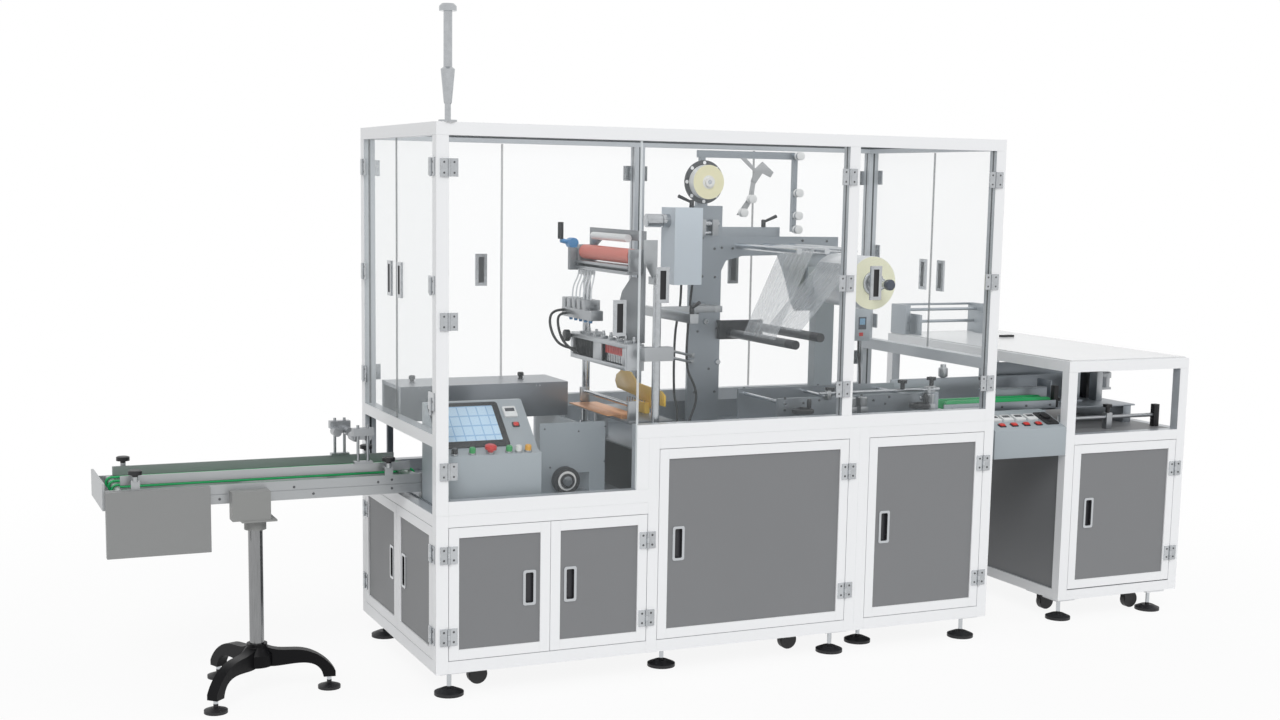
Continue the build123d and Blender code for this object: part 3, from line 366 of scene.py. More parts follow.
def profile_finish(name, low, high, grooves=False):
    """Frame profiles: white caps outwards, bare satin alloy on the faces that look inwards.

    The bare faces of the guard's profiles have the dark line of their slot along the middle, which is painted
    shade inside the slot."""
    finish = Finish(name)
    x, y, z = finish.axes()
    outward = (x < low[0] + 1) | (x > high[0] - 1) | (y < low[1] + 1) | (y > high[1] - 1) | (z > high[2] - 1)
    lines = finish.noise(90, 3, (1, 1, 0.1))
    tone = finish.blend(outward, SILVER, WHITE)
    if grooves:
        half, slot = PROFILE / 2, 4.0
        turned_x, turned_y, turned_z = [finish.math("ABSOLUTE", part) > 0.7
                                        for part in finish.parts(finish.node("TexCoord", output="Normal"))]
        centre_y = near(y, half, slot) | near(y, DEPTH - half, slot)
        centre_x = near(x, half, slot) | near(x, LENGTH - half, slot)
        for post in GUARD_POSTS:
            centre_x = centre_x | near(x, post + half, slot)
        # Painted shade: the slot's hollow is drawn as a dark line.
        groove = (centre_y & (turned_x | turned_z)) | (centre_x & turned_y & (z < HEIGHT - PROFILE)) \
            | (near(z, HEIGHT - half, slot) & (turned_x | turned_y))
        tone = finish.blend(groove & (1 - outward), tone, SLOT_SHADE)
    return finish.coat(base_color=tone, metallic=0.25 - 0.25 * outward,
                       roughness=0.3 + 0.1 * outward + 0.05 * lines,
                       normal=finish.bump(finish.noise(PEEL, 2), 0.1))


def door_finish(door):
    """A white leaf frame whose hinge halves and recessed pull are chrome; the deep part of the pull's cup is
    painted shade, nearly black.
    """
    leaf_step, pull_rim, cup_depth = 5, 0.5, 7.5
    finish = Finish(door + " finish")
    x, y, z = finish.axes()
    (x0, y0, z0), (x1, y1, z1) = window(door + "_panel")
    u, u0, u1, depth, panel_face = (y, y0, y1, x, x0) if door.startswith("side") else (x, x0, x1, y, y0)
    leaf_face = panel_face - leaf_step
    pull = inside(u, u0 + pull_rim, u1 - pull_rim) & inside(z, z0 + pull_rim, z1 - pull_rim)
    fitting = (depth < leaf_face - 0.3) | pull
    # Painted shade: the part of the pull's cup deeper than cup_depth behind the leaf face is nearly black.
    cup = pull & (depth > leaf_face + cup_depth)
    tone = finish.blend(cup, finish.blend(fitting, WHITE, CHROME), (0.03, 0.03, 0.035))
    return finish.coat(base_color=tone, metallic=fitting - cup * 0.8,
                       roughness=0.42 - 0.2 * fitting + 0.06 * finish.noise(WEAR))


def fitting_finish():
    """Chrome hinges and pulls; what is let in behind the machine's faces is painted shade, in black."""
    finish = Finish("hinge chrome")
    wear = finish.noise(WEAR)
    # Painted shade: the parts let in behind the machine's faces are black.
    let_in = spot(finish, (0.5, LENGTH - 0.5), (0.5, DEPTH - 0.5), None)
    tone = finish.blend(let_in, finish.blend(wear, NICKEL, CHROME), BLACK)
    return finish.coat(base_color=tone, metallic=1 - let_in, roughness=0.16 + 0.08 * wear + 0.3 * let_in)


def film_roll_finish():
    """A pale yellow roll of film with a chrome shaft and a dark clamping hub."""
    finish = Finish("film roll ends")
    y = finish.axes()[1]
    away = from_axis(finish, ROLL_X, ROLL_Z)
    rings = finish.math("SINE", away * 2.2)
    streaks = finish.noise(9, 4, (1, 12, 1))
    hub = (away < 47) & (y < ROLL_FRONT - 1)
    shaft = (away < 16) & (y < ROLL_FRONT - 11)
    grip = y < ROLL_GRIP_END
    tone = finish.blend(0.5 + 0.5 * rings, (0.84, 0.83, 0.58), (0.90, 0.90, 0.70))
    side = finish.blend(streaks, (0.84, 0.88, 0.91), (0.97, 0.98, 1.0))
    tone = finish.blend(away > ROLL_RADIUS - 1, tone, side)
    tone = finish.blend(hub, tone, finish.blend(near(away, 34, 5), (0.40, 0.42, 0.43), (0.16, 0.17, 0.18)))
    tone = finish.blend(shaft, tone, CHROME)
    tone = finish.blend(grip, tone, (0.02, 0.03, 0.06))
    return finish.coat(base_color=tone, roughness=0.25 - 0.1 * shaft,
                       metallic=(hub | shaft) * 0.9 - grip * 0.9)


def tape_reel_finish():
    """A reel with a white side, a pale yellow face, a dark perforated flange and a silver nut."""
    face_end, flange_start, holes, hole_ring, hole_radius = 701, 740.1, 8, 75, 7
    finish = Finish("tear tape")
    y = finish.axes()[1]
    away = from_axis(finish, *TAPE)
    turns = finish.math("SINE", away * 3.1)
    face = (y < face_end) & (away < 66.5)
    nut = face & (away < 9)
    hole = None
    for cosine, sine in circle(holes):
        there = from_axis(finish, TAPE[0] + hole_ring * cosine, TAPE[1] + hole_ring * sine) < hole_radius
        hole = there if hole is None else hole | there
    yellow = finish.blend(0.5 + 0.5 * turns, (0.80, 0.76, 0.48), (0.86, 0.83, 0.60))
    tone = finish.blend(face, (0.86, 0.87, 0.86), yellow)
    flange = y > flange_start
    tone = finish.blend(flange, tone, finish.blend(hole, (0.10, 0.105, 0.11), (0.85, 0.86, 0.87)))
    tone = finish.blend(face & (away < 26), tone, (0.80, 0.80, 0.78))
    tone = finish.blend(nut, tone, CHROME)
    return finish.coat(base_color=tone, roughness=0.4 - 0.15 * nut, metallic=nut | flange * 0.6)


def caster_finish():
    """Black wheels in bright forks."""
    finish = Finish("caster finish")
    fork = finish.axes()[2] > 79
    return finish.coat(base_color=finish.blend(fork, RUBBER, (0.5, 0.51, 0.52)),
                       metallic=fork * 0.8, roughness=0.5 - 0.2 * fork)


def pulley_finish():
    """A black toothed pulley with a white ring and a chrome hub."""
    finish = Finish("pulley finish")
    away = from_axis(finish, *PULLEY)
    ring, hub = inside(away, 26, 34), away < 17
    tone = finish.blend(hub, finish.blend(ring, BLACK, (0.75, 0.75, 0.74)), CHROME)
    return finish.coat(base_color=tone, metallic=hub, roughness=0.4 - 0.2 * hub)


def foot_finish():
    """Black pads, chrome stems and nuts, and white carrier plates."""
    finish = Finish("foot finish")
    z = finish.axes()[2]
    stem, plate = z > 30, z > 82
    tone = finish.blend(plate, finish.blend(stem, BLACK, CHROME), WHITE)
    return finish.coat(base_color=tone, metallic=stem - plate, roughness=0.5 - 0.3 * stem + 0.2 * plate)


def lid_finish():
    """The milky lid of the infeed table, which catches more light at a grazing look."""
    finish = Finish("milky lid sheet")
    rim = finish.rim()
    return finish.coat(base_color=(0.98, 0.99, 1.0), roughness=0.16 + 0.04 * finish.noise(SMEAR, 2),
                       alpha=0.66 + 0.35 * rim * rim)


def guard_finish():
    """Clear guard sheets: where two of them meet, the rear and side seams are dark lines and the edge at the
    front stile is a painted highlight; a painted sheen makes the sheets more opaque at a grazing look.
    """
    edge, sheet_zone = 3.5, 10
    finish = Finish("clear guard sheet")
    x, y, z = finish.axes()
    rim = finish.rim()
    rear = (near(x, REAR_SPLITS[0], edge) | near(x, REAR_SPLITS[1], edge)) & (y > DEPTH - sheet_zone)
    sides = near(y, DEPTH / 2, edge) & ((x < sheet_zone) | (x > LENGTH - sheet_zone))
    # The front stile's edge is a pale, more opaque band: a painted highlight.
    stile_highlight = near(x, FRONT_SPLIT, edge) & (y < sheet_zone)
    seam = rear | sides
    tone = finish.blend(seam, (0.86, 0.93, 0.96), (0.22, 0.24, 0.25))
    tone = finish.blend(stile_highlight, tone, (0.86, 0.90, 0.92))
    # The sheets grow more opaque at a grazing look: a painted sheen.
    return finish.coat(base_color=tone, roughness=0.06 + 0.04 * finish.noise(SMEAR, 2),
                       alpha=0.03 + 0.35 * rim * rim + 0.6 * (seam | stile_highlight))


def film_web_finish():
    """Drawn film: clear with milky streaks along its run, and a painted sheen that makes it more opaque at a
    grazing look.
    """
    finish = Finish("drawn film")
    streaks = finish.noise(14, 4, (0.5, 6, 0.5))
    tone = finish.blend(streaks, (0.60, 0.64, 0.67), (0.88, 0.91, 0.93))
    # The film grows more opaque at a grazing look: a painted sheen.
    return finish.coat(base_color=tone, roughness=0.12 + 0.1 * streaks,
                       alpha=0.10 + 0.22 * streaks + 0.25 * finish.rim(0.4))


def column_finish():
    """Brushed plate with two engraved scales, whose marks are bright."""
    scale_depth = (730, 737.5)
    finish = Finish("column plate")
    lines = finish.noise(LINES, 4, (12, 12, 1))
    rungs = finish.math("SINE", finish.axes()[2] * 0.9) > 0.1
    scales = spot(finish, (1326, 1334), scale_depth, (1227, 1301)) \
        | spot(finish, (1374, 1382), scale_depth, (1049, 1132))
    marks = scales & rungs
    tone = finish.blend(lines, (0.285, 0.315, 0.345), STEEL)
    tone = finish.blend(marks, tone, (0.75, 0.77, 0.78))
    return finish.coat(base_color=tone, metallic=0.85 - 0.85 * marks, roughness=0.32 + 0.1 * lines,
                       normal=finish.bump(lines, 0.08))


def screen_finish():
    """A lit touch screen with pale fields."""
    finish = Finish("touch screen")
    x, y, z = finish.axes()
    fields = finish.math("SINE", x * 0.18) > 0.92
    lines = finish.math("SINE", z * 0.22) > 0.9
    tone = finish.blend(fields | lines, (0.55, 0.75, 0.93), (0.34, 0.55, 0.80))
    return finish.coat(base_color=tone, roughness=0.14 + 0.03 * finish.noise(MARKS, 2))


def conveyor_finish():
    """Drawn steel side plates."""
    finish = Finish("conveyor steel")
    lines = finish.noise(LINES, 4, (0.4, 14, 14))
    tone = finish.blend(lines, (0.41, 0.425, 0.435), CLEAN_STEEL)
    return finish.coat(base_color=tone, metallic=0.8, roughness=0.32 + 0.1 * lines,
                       normal=finish.bump(lines, 0.06))


# Light grey sheet boxes; the small one inside the guard has a display and a red rocker on its face
FACE_SKIN = (798, 801)
housing_finish = patched("console sheet", PALE, [
    (((2060, 2142), (798, 852), (1080, 1220)), (0.42, 0.46, 0.49), 0.0, 0.4),
    (((2082, 2120), FACE_SKIN, (1130, 1182)), (0.05, 0.06, 0.08), 0.0, 0.15),
    (((2088, 2114), FACE_SKIN, (1150, 1176)), (0.20, 0.38, 0.55), 0.0, 0.15),
    (((2086, 2106), FACE_SKIN, (1102, 1117)), ROCKER_RED, 0.0, 0.3)], roughness=0.4)
# Light grey paint, where the plate hung on the conveyor's end is darker
cover_finish = patched("light grey paint", COVER, [
    (((-1100, -600), None, None), HUNG_PLATE, 0.0, 0.42)], roughness=0.4)
# Drawn rails, with black knobs on their posts
guide_finish = patched("guide rails", CLEAN_STEEL,
                       [((band, None, (757, 800)), BLACK, 0.0, 0.4) for band in ((-930, -880), (-95, -45))],
                       roughness=0.32, metallic=0.8)
# Dark rubbered bars, bright rollers under the arm and a pale post
bar_finish = patched("film bars", (0.012, 0.012, 0.014), [
    ((None, None, (1460, 1495)), CHROME, 1.0, 0.2),
    (((1780, 1930), (735, 800), None), PALE, 0.0, 0.4),
    (((1420, 1590), (260, 700), (1100, 1190)), (0.10, 0.105, 0.11), 0.3, 0.35)], roughness=0.4)

FINISH_OF = {
    "deck": plate_steel, "cabinet_panels": panel_paint, "infeed_panels": panel_paint,
    "casters": caster_finish(), "levelling_feet": foot_finish(), "fixed_fittings": fitting_finish(),
    "guard_doors": guard_finish(), "infeed_lid": lid_finish(), "signal_tower": bright_steel,
    "outfeed_conveyor": conveyor_finish(), "outfeed_guides": guide_finish, "conveyor_belts": belt_green,
    "hold_down_rollers": alloy, "stand_pole": pole_steel, "stand_head": head_paint,
    "stand_tripod": black_enamel, "discharge_hood": hood_steel, "discharge_guards": guard_sheet,
    "belt_pulley": pulley_finish(), "film_column": column_finish(), "drive_covers": cover_finish,
    "film_guides": bar_finish, "tape_reel": tape_reel_finish(), "tape_support": plate_steel,
    "product_bed": plate_steel,
    "base_frame": profile_finish("cabinet profiles", (0, 0, 0), (LENGTH, DEPTH, 10000)),
    "guard_frame": profile_finish("guard profiles", (0, 0, 0), (LENGTH, DEPTH, HEIGHT), grooves=True),
    "infeed_frame": profile_finish("table profiles", (TABLE_LEFT, TABLE_FRONT, 0),
                                   (TABLE_RIGHT, TABLE_REAR, TABLE_TOP)),
}
for door in DOORS:
    FINISH_OF[door + "_frame"] = door_finish(door)
    FINISH_OF[door + "_panel"] = panel_paint
# The solids that other pieces stand for are plain plate, and don't show
for name, node in nodes.items():
    node.data.materials.clear()
    node.data.materials.append(FINISH_OF.get(name, plate_steel))


# Fastenings: one tree puts a turned head on each point, aimed along the point's own direction
def screw_tree():
    """Geometry Nodes that stand a screw head on every point of a mesh."""
    tree = bpy.data.node_groups.new("screw heads", "GeometryNodeTree")
    for label, kind in (("Points", "Geometry"), ("Head radius", "Float"), ("Head height", "Float"),
                        ("Sides", "Int"), ("Metal", "Material")):
        tree.interface.new_socket(label, in_out="INPUT", socket_type="NodeSocket" + kind)
    tree.interface.new_socket("Screws", in_out="OUTPUT", socket_type="NodeSocketGeometry")
    made = {role: tree.nodes.new(kind) for role, kind in (
        ("start", "NodeGroupInput"), ("end", "NodeGroupOutput"), ("head", "GeometryNodeMeshCone"),
        ("aim", "GeometryNodeInputNamedAttribute"), ("turn", "FunctionNodeAlignRotationToVector"),
        ("narrow", "ShaderNodeMath"), ("rows", "GeometryNodeInstanceOnPoints"),
        ("plain", "GeometryNodeRealizeInstances"), ("finish", "GeometryNodeSetMaterial"))}
    made["narrow"].operation = "MULTIPLY"
    made["narrow"].inputs[1].default_value = 0.82
    made["aim"].data_type = "FLOAT_VECTOR"
    made["aim"].inputs["Name"].default_value = "aim"
    made["turn"].axis = "Z"
    for source, output, target, entry in (
            ("start", "Head radius", "head", "Radius Bottom"), ("start", "Head radius", "narrow", 0),
            ("narrow", 0, "head", "Radius Top"), ("start", "Head height", "head", "Depth"),
            ("start", "Sides", "head", "Vertices"), ("aim", "Attribute", "turn", "Vector"),
            ("start", "Points", "rows", "Points"), ("head", "Mesh", "rows", "Instance"),
            ("turn", "Rotation", "rows", "Rotation"), ("rows", "Instances", "plain", "Geometry"),
            ("plain", "Geometry", "finish", "Geometry"), ("start", "Metal", "finish", "Material"),
            ("finish", "Geometry", "end", "Screws")):
        tree.links.new(made[source].outputs[output], made[target].inputs[entry])
    return tree


SCREWS = screw_tree()
SCREW_INPUTS = {item.name: item.identifier for item in SCREWS.interface.items_tree if item.in_out == "INPUT"}


def plain_mesh(holder):
    """Takes the modifiers' result as the object's own mesh."""
    graph = bpy.context.evaluated_depsgraph_get()
    mesh = bpy.data.meshes.new_from_object(holder.evaluated_get(graph))
    holder.modifiers.clear()
    holder.data = mesh


def screws(name, spots, radius, height, finish=screw_steel, sides=12, body="machine"):
    """Screw heads at spots, each a point of the machine and the direction that its head looks."""
    points = bpy.data.meshes.new(name)
    points.from_pydata([place(*point) for point, direction in spots], [], [])
    aims = points.attributes.new("aim", "FLOAT_VECTOR", "POINT")
    aims.data.foreach_set("vector", [part for point, direction in spots for part in direction])
    holder = stand(name, points)
    rows = holder.modifiers.new("rows", "NODES")
    rows.node_group = SCREWS
    for label, value in (("Head radius", radius / MM), ("Head height", height / MM),
                         ("Sides", sides), ("Metal", finish)):
        rows[SCREW_INPUTS[label]] = value
    plain_mesh(holder)
    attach(holder, body)


OUT = {"front": (0, -1, 0), "left": (-1, 0, 0), "back": (0, 1, 0), "right": (1, 0, 0)}


def on_wall(wall, u, out, z):
    """A point on one of the machine's walls, which stands out from its face."""
    return {"front": (u, -out, z), "left": (-out, u, z), "back": (u, DEPTH + out, z),
            "right": (LENGTH + out, u, z)}[wall]


# Hinges of the clear guards, each wall's with their place along it and their heights
GUARD_HINGES = (("front", PROFILE, (772, 1263, 1756)), ("front", GUARD_POSTS[0], (993, 1375, 1752)),
                ("front", LENGTH - PROFILE, (994, 1375, 1752)),
                ("back", PROFILE, (1001, 1756)), ("back", GUARD_POSTS[1], (1001, 1756)),
                ("back", GUARD_POSTS[1] + PROFILE, (1001, 1756)), ("back", LENGTH - PROFILE, (1001, 1756)),
                ("left", PROFILE, (984, 1375, 1756)), ("left", DEPTH - PROFILE, (1001, 1380, 1759)),
                ("right", PROFILE, (1160, 1450, 1759)), ("right", DEPTH - PROFILE, (1160, 1450, 1759)))
LEAF_PLATE = 4.0
SCREW_OUT = SCREW_UP = 17.0
HINGE_SCREW, HINGE_SCREW_SIDES = (4.2, 1.6), 10
screws("guard_hinge_screws",
       [(on_wall(wall, u + side * SCREW_OUT, LEAF_PLATE, z + rise), OUT[wall])
        for wall, u, heights in GUARD_HINGES for z in heights
        for side in (-1, 1) for rise in (-SCREW_UP, SCREW_UP)], *HINGE_SCREW, sides=HINGE_SCREW_SIDES)

# Screws of the cabinet doors' hinges: one leaf rides on the door, the other on the frame
LOW_DOOR_HINGES, TALL_DOOR_HINGES = (82, 90), (112, 118)
fixed_spots = []
for joint in frame["joints"]:
    door = joint["child"]
    if door not in DOORS:
        continue
    wall, axis = ("left", 1) if door.startswith("side") else ("front", 0)
    out = LEAF_PLATE - (TABLE_FRONT if door == "table_door" else 0)
    pin = joint["pos_m"][axis] * MM + ORIGIN
    low, high = window(door + "_frame")
    into = SCREW_OUT if (low[axis] + high[axis]) / 2 > pin else -SCREW_OUT
    from_foot, from_head = LOW_DOOR_HINGES if high[2] < LOW_DOOR_TOP else TALL_DOOR_HINGES
    moving_spots, still_spots = [
        [(on_wall(wall, pin + way, out, z + rise), OUT[wall])
         for z in (low[2] + from_foot, high[2] - from_head) for rise in (-SCREW_UP, SCREW_UP)]
        for way in (into, -into)]
    fixed_spots += still_spots
    screws(door + "_screws", moving_spots, *HINGE_SCREW, sides=HINGE_SCREW_SIDES, body=door)
screws("cabinet_hinge_screws", fixed_spots, *HINGE_SCREW, sides=HINGE_SCREW_SIDES)


def seats(name, wall, pairs):
    """Spots where a look from the front or the back meets a node, at pairs of x and z."""
    mesh = nodes[name].data
    tree = BVHTree.FromPolygons([vertex.co for vertex in mesh.vertices],
                                [face.vertices for face in mesh.polygons])
    start, look = (-3000.0, (0, 1, 0)) if wall == "front" else (4000.0, (0, -1, 0))
    found = []
    for x, z in pairs:
        hit, normal, face, distance = tree.ray_cast(place(x, start, z), Vector(look))
        if hit is not None:
            found.append((tuple(unplace(hit)), tuple(normal)))
    return found


# Bolts and screws on the plates, found on the face that the wall's onlooker sees first
COLUMN_BOLTS = ((1322, 1509), (1292, 1467), (1377, 1467), (1409, 1472), (1457, 1469), (1503, 1483),
                (1587, 1481), (1424, 1522), (1309, 1214), (1396, 1182), (1394, 1153), (1310, 1142),
                (1325, 1359), (1381, 1356), (1362, 992), (1774, 1500), (1887, 1498), (1300, 900), (1390, 900))
COLUMN_NUTS = ((1437, 1562), (1343, 1181), (1400, 1019), (1614, 1533), (1826, 1248))
BED_BOLTS = ((1460, 925), (1540, 905), (1609, 912), (1700, 930), (1796, 925), (1851, 903), (1904, 888),
             (1922, 914), (1990, 930), (2089, 927), (1460, 880), (1700, 885), (2089, 885))
HOOD_SCREWS = ((111, 980), (123, 980), (558, 974), (572, 974))
SHEET_SCREWS = ((492, 723), (598, 847), (698, 735), (470, 860), (700, 860))
CONVEYOR_SCREWS = ((-108, 694), (-60, 670), (-60, 700), (-330, 668), (-640, 668), (-395, 694), (-700, 694))
MAGAZINE_SCREWS = ((2637, 1075), (2637, 1110))
for name, node, wall, pairs, size, finish, sides in (
        ("column_bolts", "film_column", "front", COLUMN_BOLTS, (5.5, 3.5), screw_steel, 12),
        ("column_nuts", "film_column", "front", COLUMN_NUTS, (13, 9), bright_steel, 6),
        ("column_back_bolts", "film_column", "back", COLUMN_BOLTS[:8], (5.5, 3.5), screw_steel, 12),
        ("bed_bolts", "product_bed", "front", BED_BOLTS, (5, 3), screw_steel, 12),
        ("bed_back_bolts", "product_bed", "back", BED_BOLTS, (5, 3), screw_steel, 12),
        ("hood_screws", "discharge_hood", "front", HOOD_SCREWS, (3.5, 2), bright_steel, 10),
        ("sheet_screws", "discharge_guards", "front", SHEET_SCREWS, (3.5, 2), screw_steel, 10),
        ("conveyor_screws", "outfeed_conveyor", "front", CONVEYOR_SCREWS, (4.5, 2.5), screw_steel, 12),
        ("conveyor_back_screws", "outfeed_conveyor", "back", CONVEYOR_SCREWS, (4.5, 2.5), screw_steel, 12),
        ("magazine_screws", "magazine", "front", MAGAZINE_SCREWS, (4, 2.5), screw_steel, 12)):
    screws(name, seats(node, wall, pairs), *size, finish, sides)


# Formed pieces: closed shapes of one finish, gathered into one mesh, with rounded edges of these widths
HAIR_EDGE, PLATE_EDGE, SHEET_EDGE, BLOCK_EDGE, CASE_EDGE = 0.5, 0.6, 0.8, 1.0, 1.5


class Form:
    """Closed shapes of one finish, in machine millimetres, which become one piece."""

    def __init__(self, name, finish, body="machine"):
        self.name, self.finish, self.body = name, finish, body
        self.points, self.faces = [], []

    def loft(self, rings):
        """A solid through rings of points, with flat ends."""
        first, count = len(self.points), len(rings[0])
        last = first + (len(rings) - 1) * count
        for ring in rings:
            self.points.extend(place(*point) for point in ring)
        for start in range(first, last, count):
            for corner in range(count):
                here, beside = start + corner, start + (corner + 1) % count
                self.faces.append((here, beside, beside + count, here + count))
        self.faces.append(tuple(reversed(range(first, first + count))))
        self.faces.append(tuple(range(last, last + count)))

    def blocks(self, *boxes):
        """Boxes, each given as its two ends in x, in y and in z."""
        for x0, x1, y0, y1, z0, z1 in boxes:
            self.loft([[(x0, y0, z), (x1, y0, z), (x1, y1, z), (x0, y1, z)] for z in (z0, z1)])

    def plate_xz(self, y0, y1, *outline):
        """An outline in x and z, seen from the front, made as thick as from y0 to y1."""
        self.loft([[(x, y, z) for x, z in outline] for y in (y0, y1)])

    def plate_yz(self, x0, x1, *outline):
        """An outline in y and z, seen from the side, made as thick as from x0 to x1."""
        self.loft([[(x, y, z) for y, z in outline] for x in (x0, x1)])

    def turned(self, foot, axis, *levels, sides=20):
        """A turned shape on a foot point, given as heights along an axis and radii."""
        along = Vector(axis).normalized()
        aside = along.orthogonal().normalized()
        third = along.cross(aside)
        spokes = [aside * cosine + third * sine for cosine, sine in circle(sides)]
        self.loft([[Vector(foot) + along * height + spoke * radius for spoke in spokes]
                   for height, radius in levels])

    def rod(self, start, end, radius, end_radius=None, sides=18):
        """A round rod with broken edges."""
        way = Vector(end) - Vector(start)
        last = end_radius or radius
        edge = min(1.0, radius * 0.2, way.length * 0.25)
        self.turned(start, way, (0, radius - edge), (edge, radius), (way.length - edge, last),
                    (way.length, last - edge), sides=sides)

    def star_knobs(self, *knobs):
        """Hand knobs with arms, each given as its foot point and the length of its stem."""
        arms, radius, thick, stem_radius, steps = 5, 20.0, 12.0, 9, 30
        angles = [math.tau * number / steps for number in range(steps)]
        for x, y, z, stem in knobs:
            reaches = [radius * (0.84 + 0.16 * math.cos(arms * angle)) for angle in angles]
            self.loft([[(x + reach * math.cos(angle), y + reach * math.sin(angle), height)
                        for reach, angle in zip(reaches, angles)] for height in (z + stem, z + stem + thick)])
            self.rod((x, y, z), (x, y, z + stem), stem_radius)

    def clamp_levers(self, *levers):
        """Clamping levers, each a round hub and an arm that rises outwards at an angle."""
        for x, y, z, angle in levers:
            self.turned((x, y, z), UP, (0, 9), (26, 9), (30, 6))
            out_x, out_y = math.cos(math.radians(angle)), math.sin(math.radians(angle))
            self.rod((x, y, z + 20), (x + 58 * out_x, y + 58 * out_y, z + 44), 5, end_radius=7)

    def done(self, *hidden, edge=0.0):
        """The finished piece, which rides on its body and stands for the hidden nodes."""
        mesh = bpy.data.meshes.new(self.name)
        mesh.from_pydata(self.points, [], self.faces)
        shell = bmesh.new()
        shell.from_mesh(mesh)
        bmesh.ops.recalc_face_normals(shell, faces=shell.faces)
        shell.to_mesh(mesh)
        shell.free()
        mesh.materials.append(self.finish)
        piece = stand(self.name, mesh)
        if edge:
            rounding = piece.modifiers.new("edges", "BEVEL")
            rounding.width = edge / MM
            rounding.segments = 2
            rounding.limit_method = "ANGLE"
            plain_mesh(piece)
        piece.data.shade_smooth()
        piece.data.set_sharp_from_angle(angle=math.radians(40))
        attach(piece, self.body)
        if hidden:
            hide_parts(*hidden)


def about(middle, half):
    """The two ends of a length that lies evenly about its middle."""
    return middle - half, middle + half


def slope_frame(low, high, left):
    """Turns u across, v up a sloping panel and its lift above it into a point of the machine."""
    rise = Vector((0, high[0] - low[0], high[1] - low[1])).normalized()
    outward = Vector(RIGHTWARD).cross(rise)
    return lambda u, v, lift: Vector((left + u, *low)) + rise * v + outward * lift


def raised(form, at, u0, u1, v0, v1, low, high, corner=3.0):
    """A flat fitting on a sloping panel, its corners cut and its top edge drawn in."""
    def ring(lift, inset):
        a0, a1, b0, b1, c = u0 + inset, u1 - inset, v0 + inset, v1 - inset, corner
        outline = ((a0 + c, b0), (a1 - c, b0), (a1, b0 + c), (a1, b1 - c),
                   (a1 - c, b1), (a0 + c, b1), (a0, b1 - c), (a0, b0 + c))
        return [at(u, v, lift) for u, v in outline]
    form.loft([ring(low, 0), ring(high - 1, 0), ring(high, 1)])


def button(form, at, u, v, *levels, sides=20):
    """A round fitting on a sloping panel, given as lifts and radii."""
    form.loft([[at(u + radius * cosine, v + radius * sine, lift) for cosine, sine in circle(sides)]
               for lift, radius in levels])


# Operator console, infeed control box and temperature box, as folded sheet with fittings on them
CONSOLE_LOW, CONSOLE_HIGH, LEDGE = (104.0, 816.0), (276.0, 964.0), (70.0, 808.0)
BOX_LOW, BOX_HIGH = (92.0, 793.0), (250.0, 844.0)
BOX_LEFT = TABLE_LEFT - 342
CONSOLE_WIDTH, CONSOLE_FOOT, BOX_FOOT = 350, 631, 681
housings = Form("control_sheet_boxes", housing_finish)
housings.plate_yz(CONSOLE_LEFT, CONSOLE_LEFT + CONSOLE_WIDTH, (LEDGE[0], CONSOLE_FOOT), LEDGE, CONSOLE_LOW,
                  CONSOLE_HIGH, (300, CONSOLE_HIGH[1]), (300, CONSOLE_FOOT))
housings.plate_yz(BOX_LEFT, TABLE_LEFT - 0.3, (BOX_LOW[0], BOX_FOOT), BOX_LOW, BOX_HIGH,
                  (270, BOX_HIGH[1]), (270, BOX_FOOT))
housings.blocks((2062, 2139, 800, 850, 1083, 1217), (2110, 2170, 850, 877.7, 1120, 1160))
housings.done("control_housings", edge=CASE_EDGE)
panel = slope_frame(CONSOLE_LOW, CONSOLE_HIGH, CONSOLE_LEFT)
ledge = slope_frame(LEDGE, CONSOLE_LOW, CONSOLE_LEFT)
box_panel = slope_frame(BOX_LOW, BOX_HIGH, BOX_LEFT)
bezels = Form("control_bezels", black_plastic)
screen = Form("touch_screen", screen_finish())
meters = Form("meters", plastic("meter white", METER_WHITE, 0.3))
meter_windows = Form("meter_windows", plastic("meter window", (0.05, 0.055, 0.065), 0.12))
rockers = Form("rocker_switches", plastic("rocker red", ROCKER_RED, 0.25))
collars = Form("button_collars", alloy)
# Lifts above the panel: the foot of every fitting, plates, meters with their windows, and rockers
ON, PLATE, METER, GLAZED, ROCKER = 0.2, (0.2, 4), (0.2, 9), (8.5, 9.6), (3.5, 8)
raised(bezels, panel, 6, 256, 18, 218, ON, 5, corner=8)
raised(bezels, panel, 286, 312, 100, 122, *PLATE)
raised(bezels, box_panel, 268, 330, 30, 134, ON, 5, corner=5)
raised(bezels, box_panel, 282, 316, 72, 112, 4, 14, corner=6)
raised(screen, panel, 28, 234, 44, 200, 4, 6)
raised(meters, panel, 268, 315, 144, 191, *METER)
raised(meter_windows, panel, 274, 309, 166, 182, *GLAZED, corner=1)
raised(rockers, panel, 290, 308, 103, 119, *ROCKER)
for left in (34, 92, 150, 208):
    raised(meters, box_panel, left, left + 47, 72, 119, *METER)
    raised(meter_windows, box_panel, left + 7, left + 40, 92, 110, *GLAZED, corner=1)
    raised(bezels, box_panel, left + 9, left + 39, 27, 53, *PLATE)
    raised(rockers, box_panel, left + 12, left + 36, 30, 50, *ROCKER)
BUTTON_ROW = 17
PUSH_CAP, MUSHROOM = ((6, 11), (20, 11), (23, 9)), ((6, 10), (14, 10), (16, 20), (26, 20), (30, 14))
for u, colour, shape in (
        (46, BLACK, PUSH_CAP), (108, CAP_GREEN, PUSH_CAP), (172, (0.62, 0.02, 0.015), MUSHROOM),
        (238, CAP_GREEN, PUSH_CAP), (272, (0.75, 0.76, 0.75), PUSH_CAP), (306, (0.75, 0.38, 0.03), PUSH_CAP)):
    button(collars, ledge, u, BUTTON_ROW, (ON, 13), (5, 13), (6, 12))
    cap = Form("button_" + str(u), plastic("button cap " + str(u), colour, 0.3))
    button(cap, ledge, u, BUTTON_ROW, *shape)
    cap.done()
for form in (screen, meters, meter_windows, rockers, collars):
    form.done()
bezels.done("console_controls")
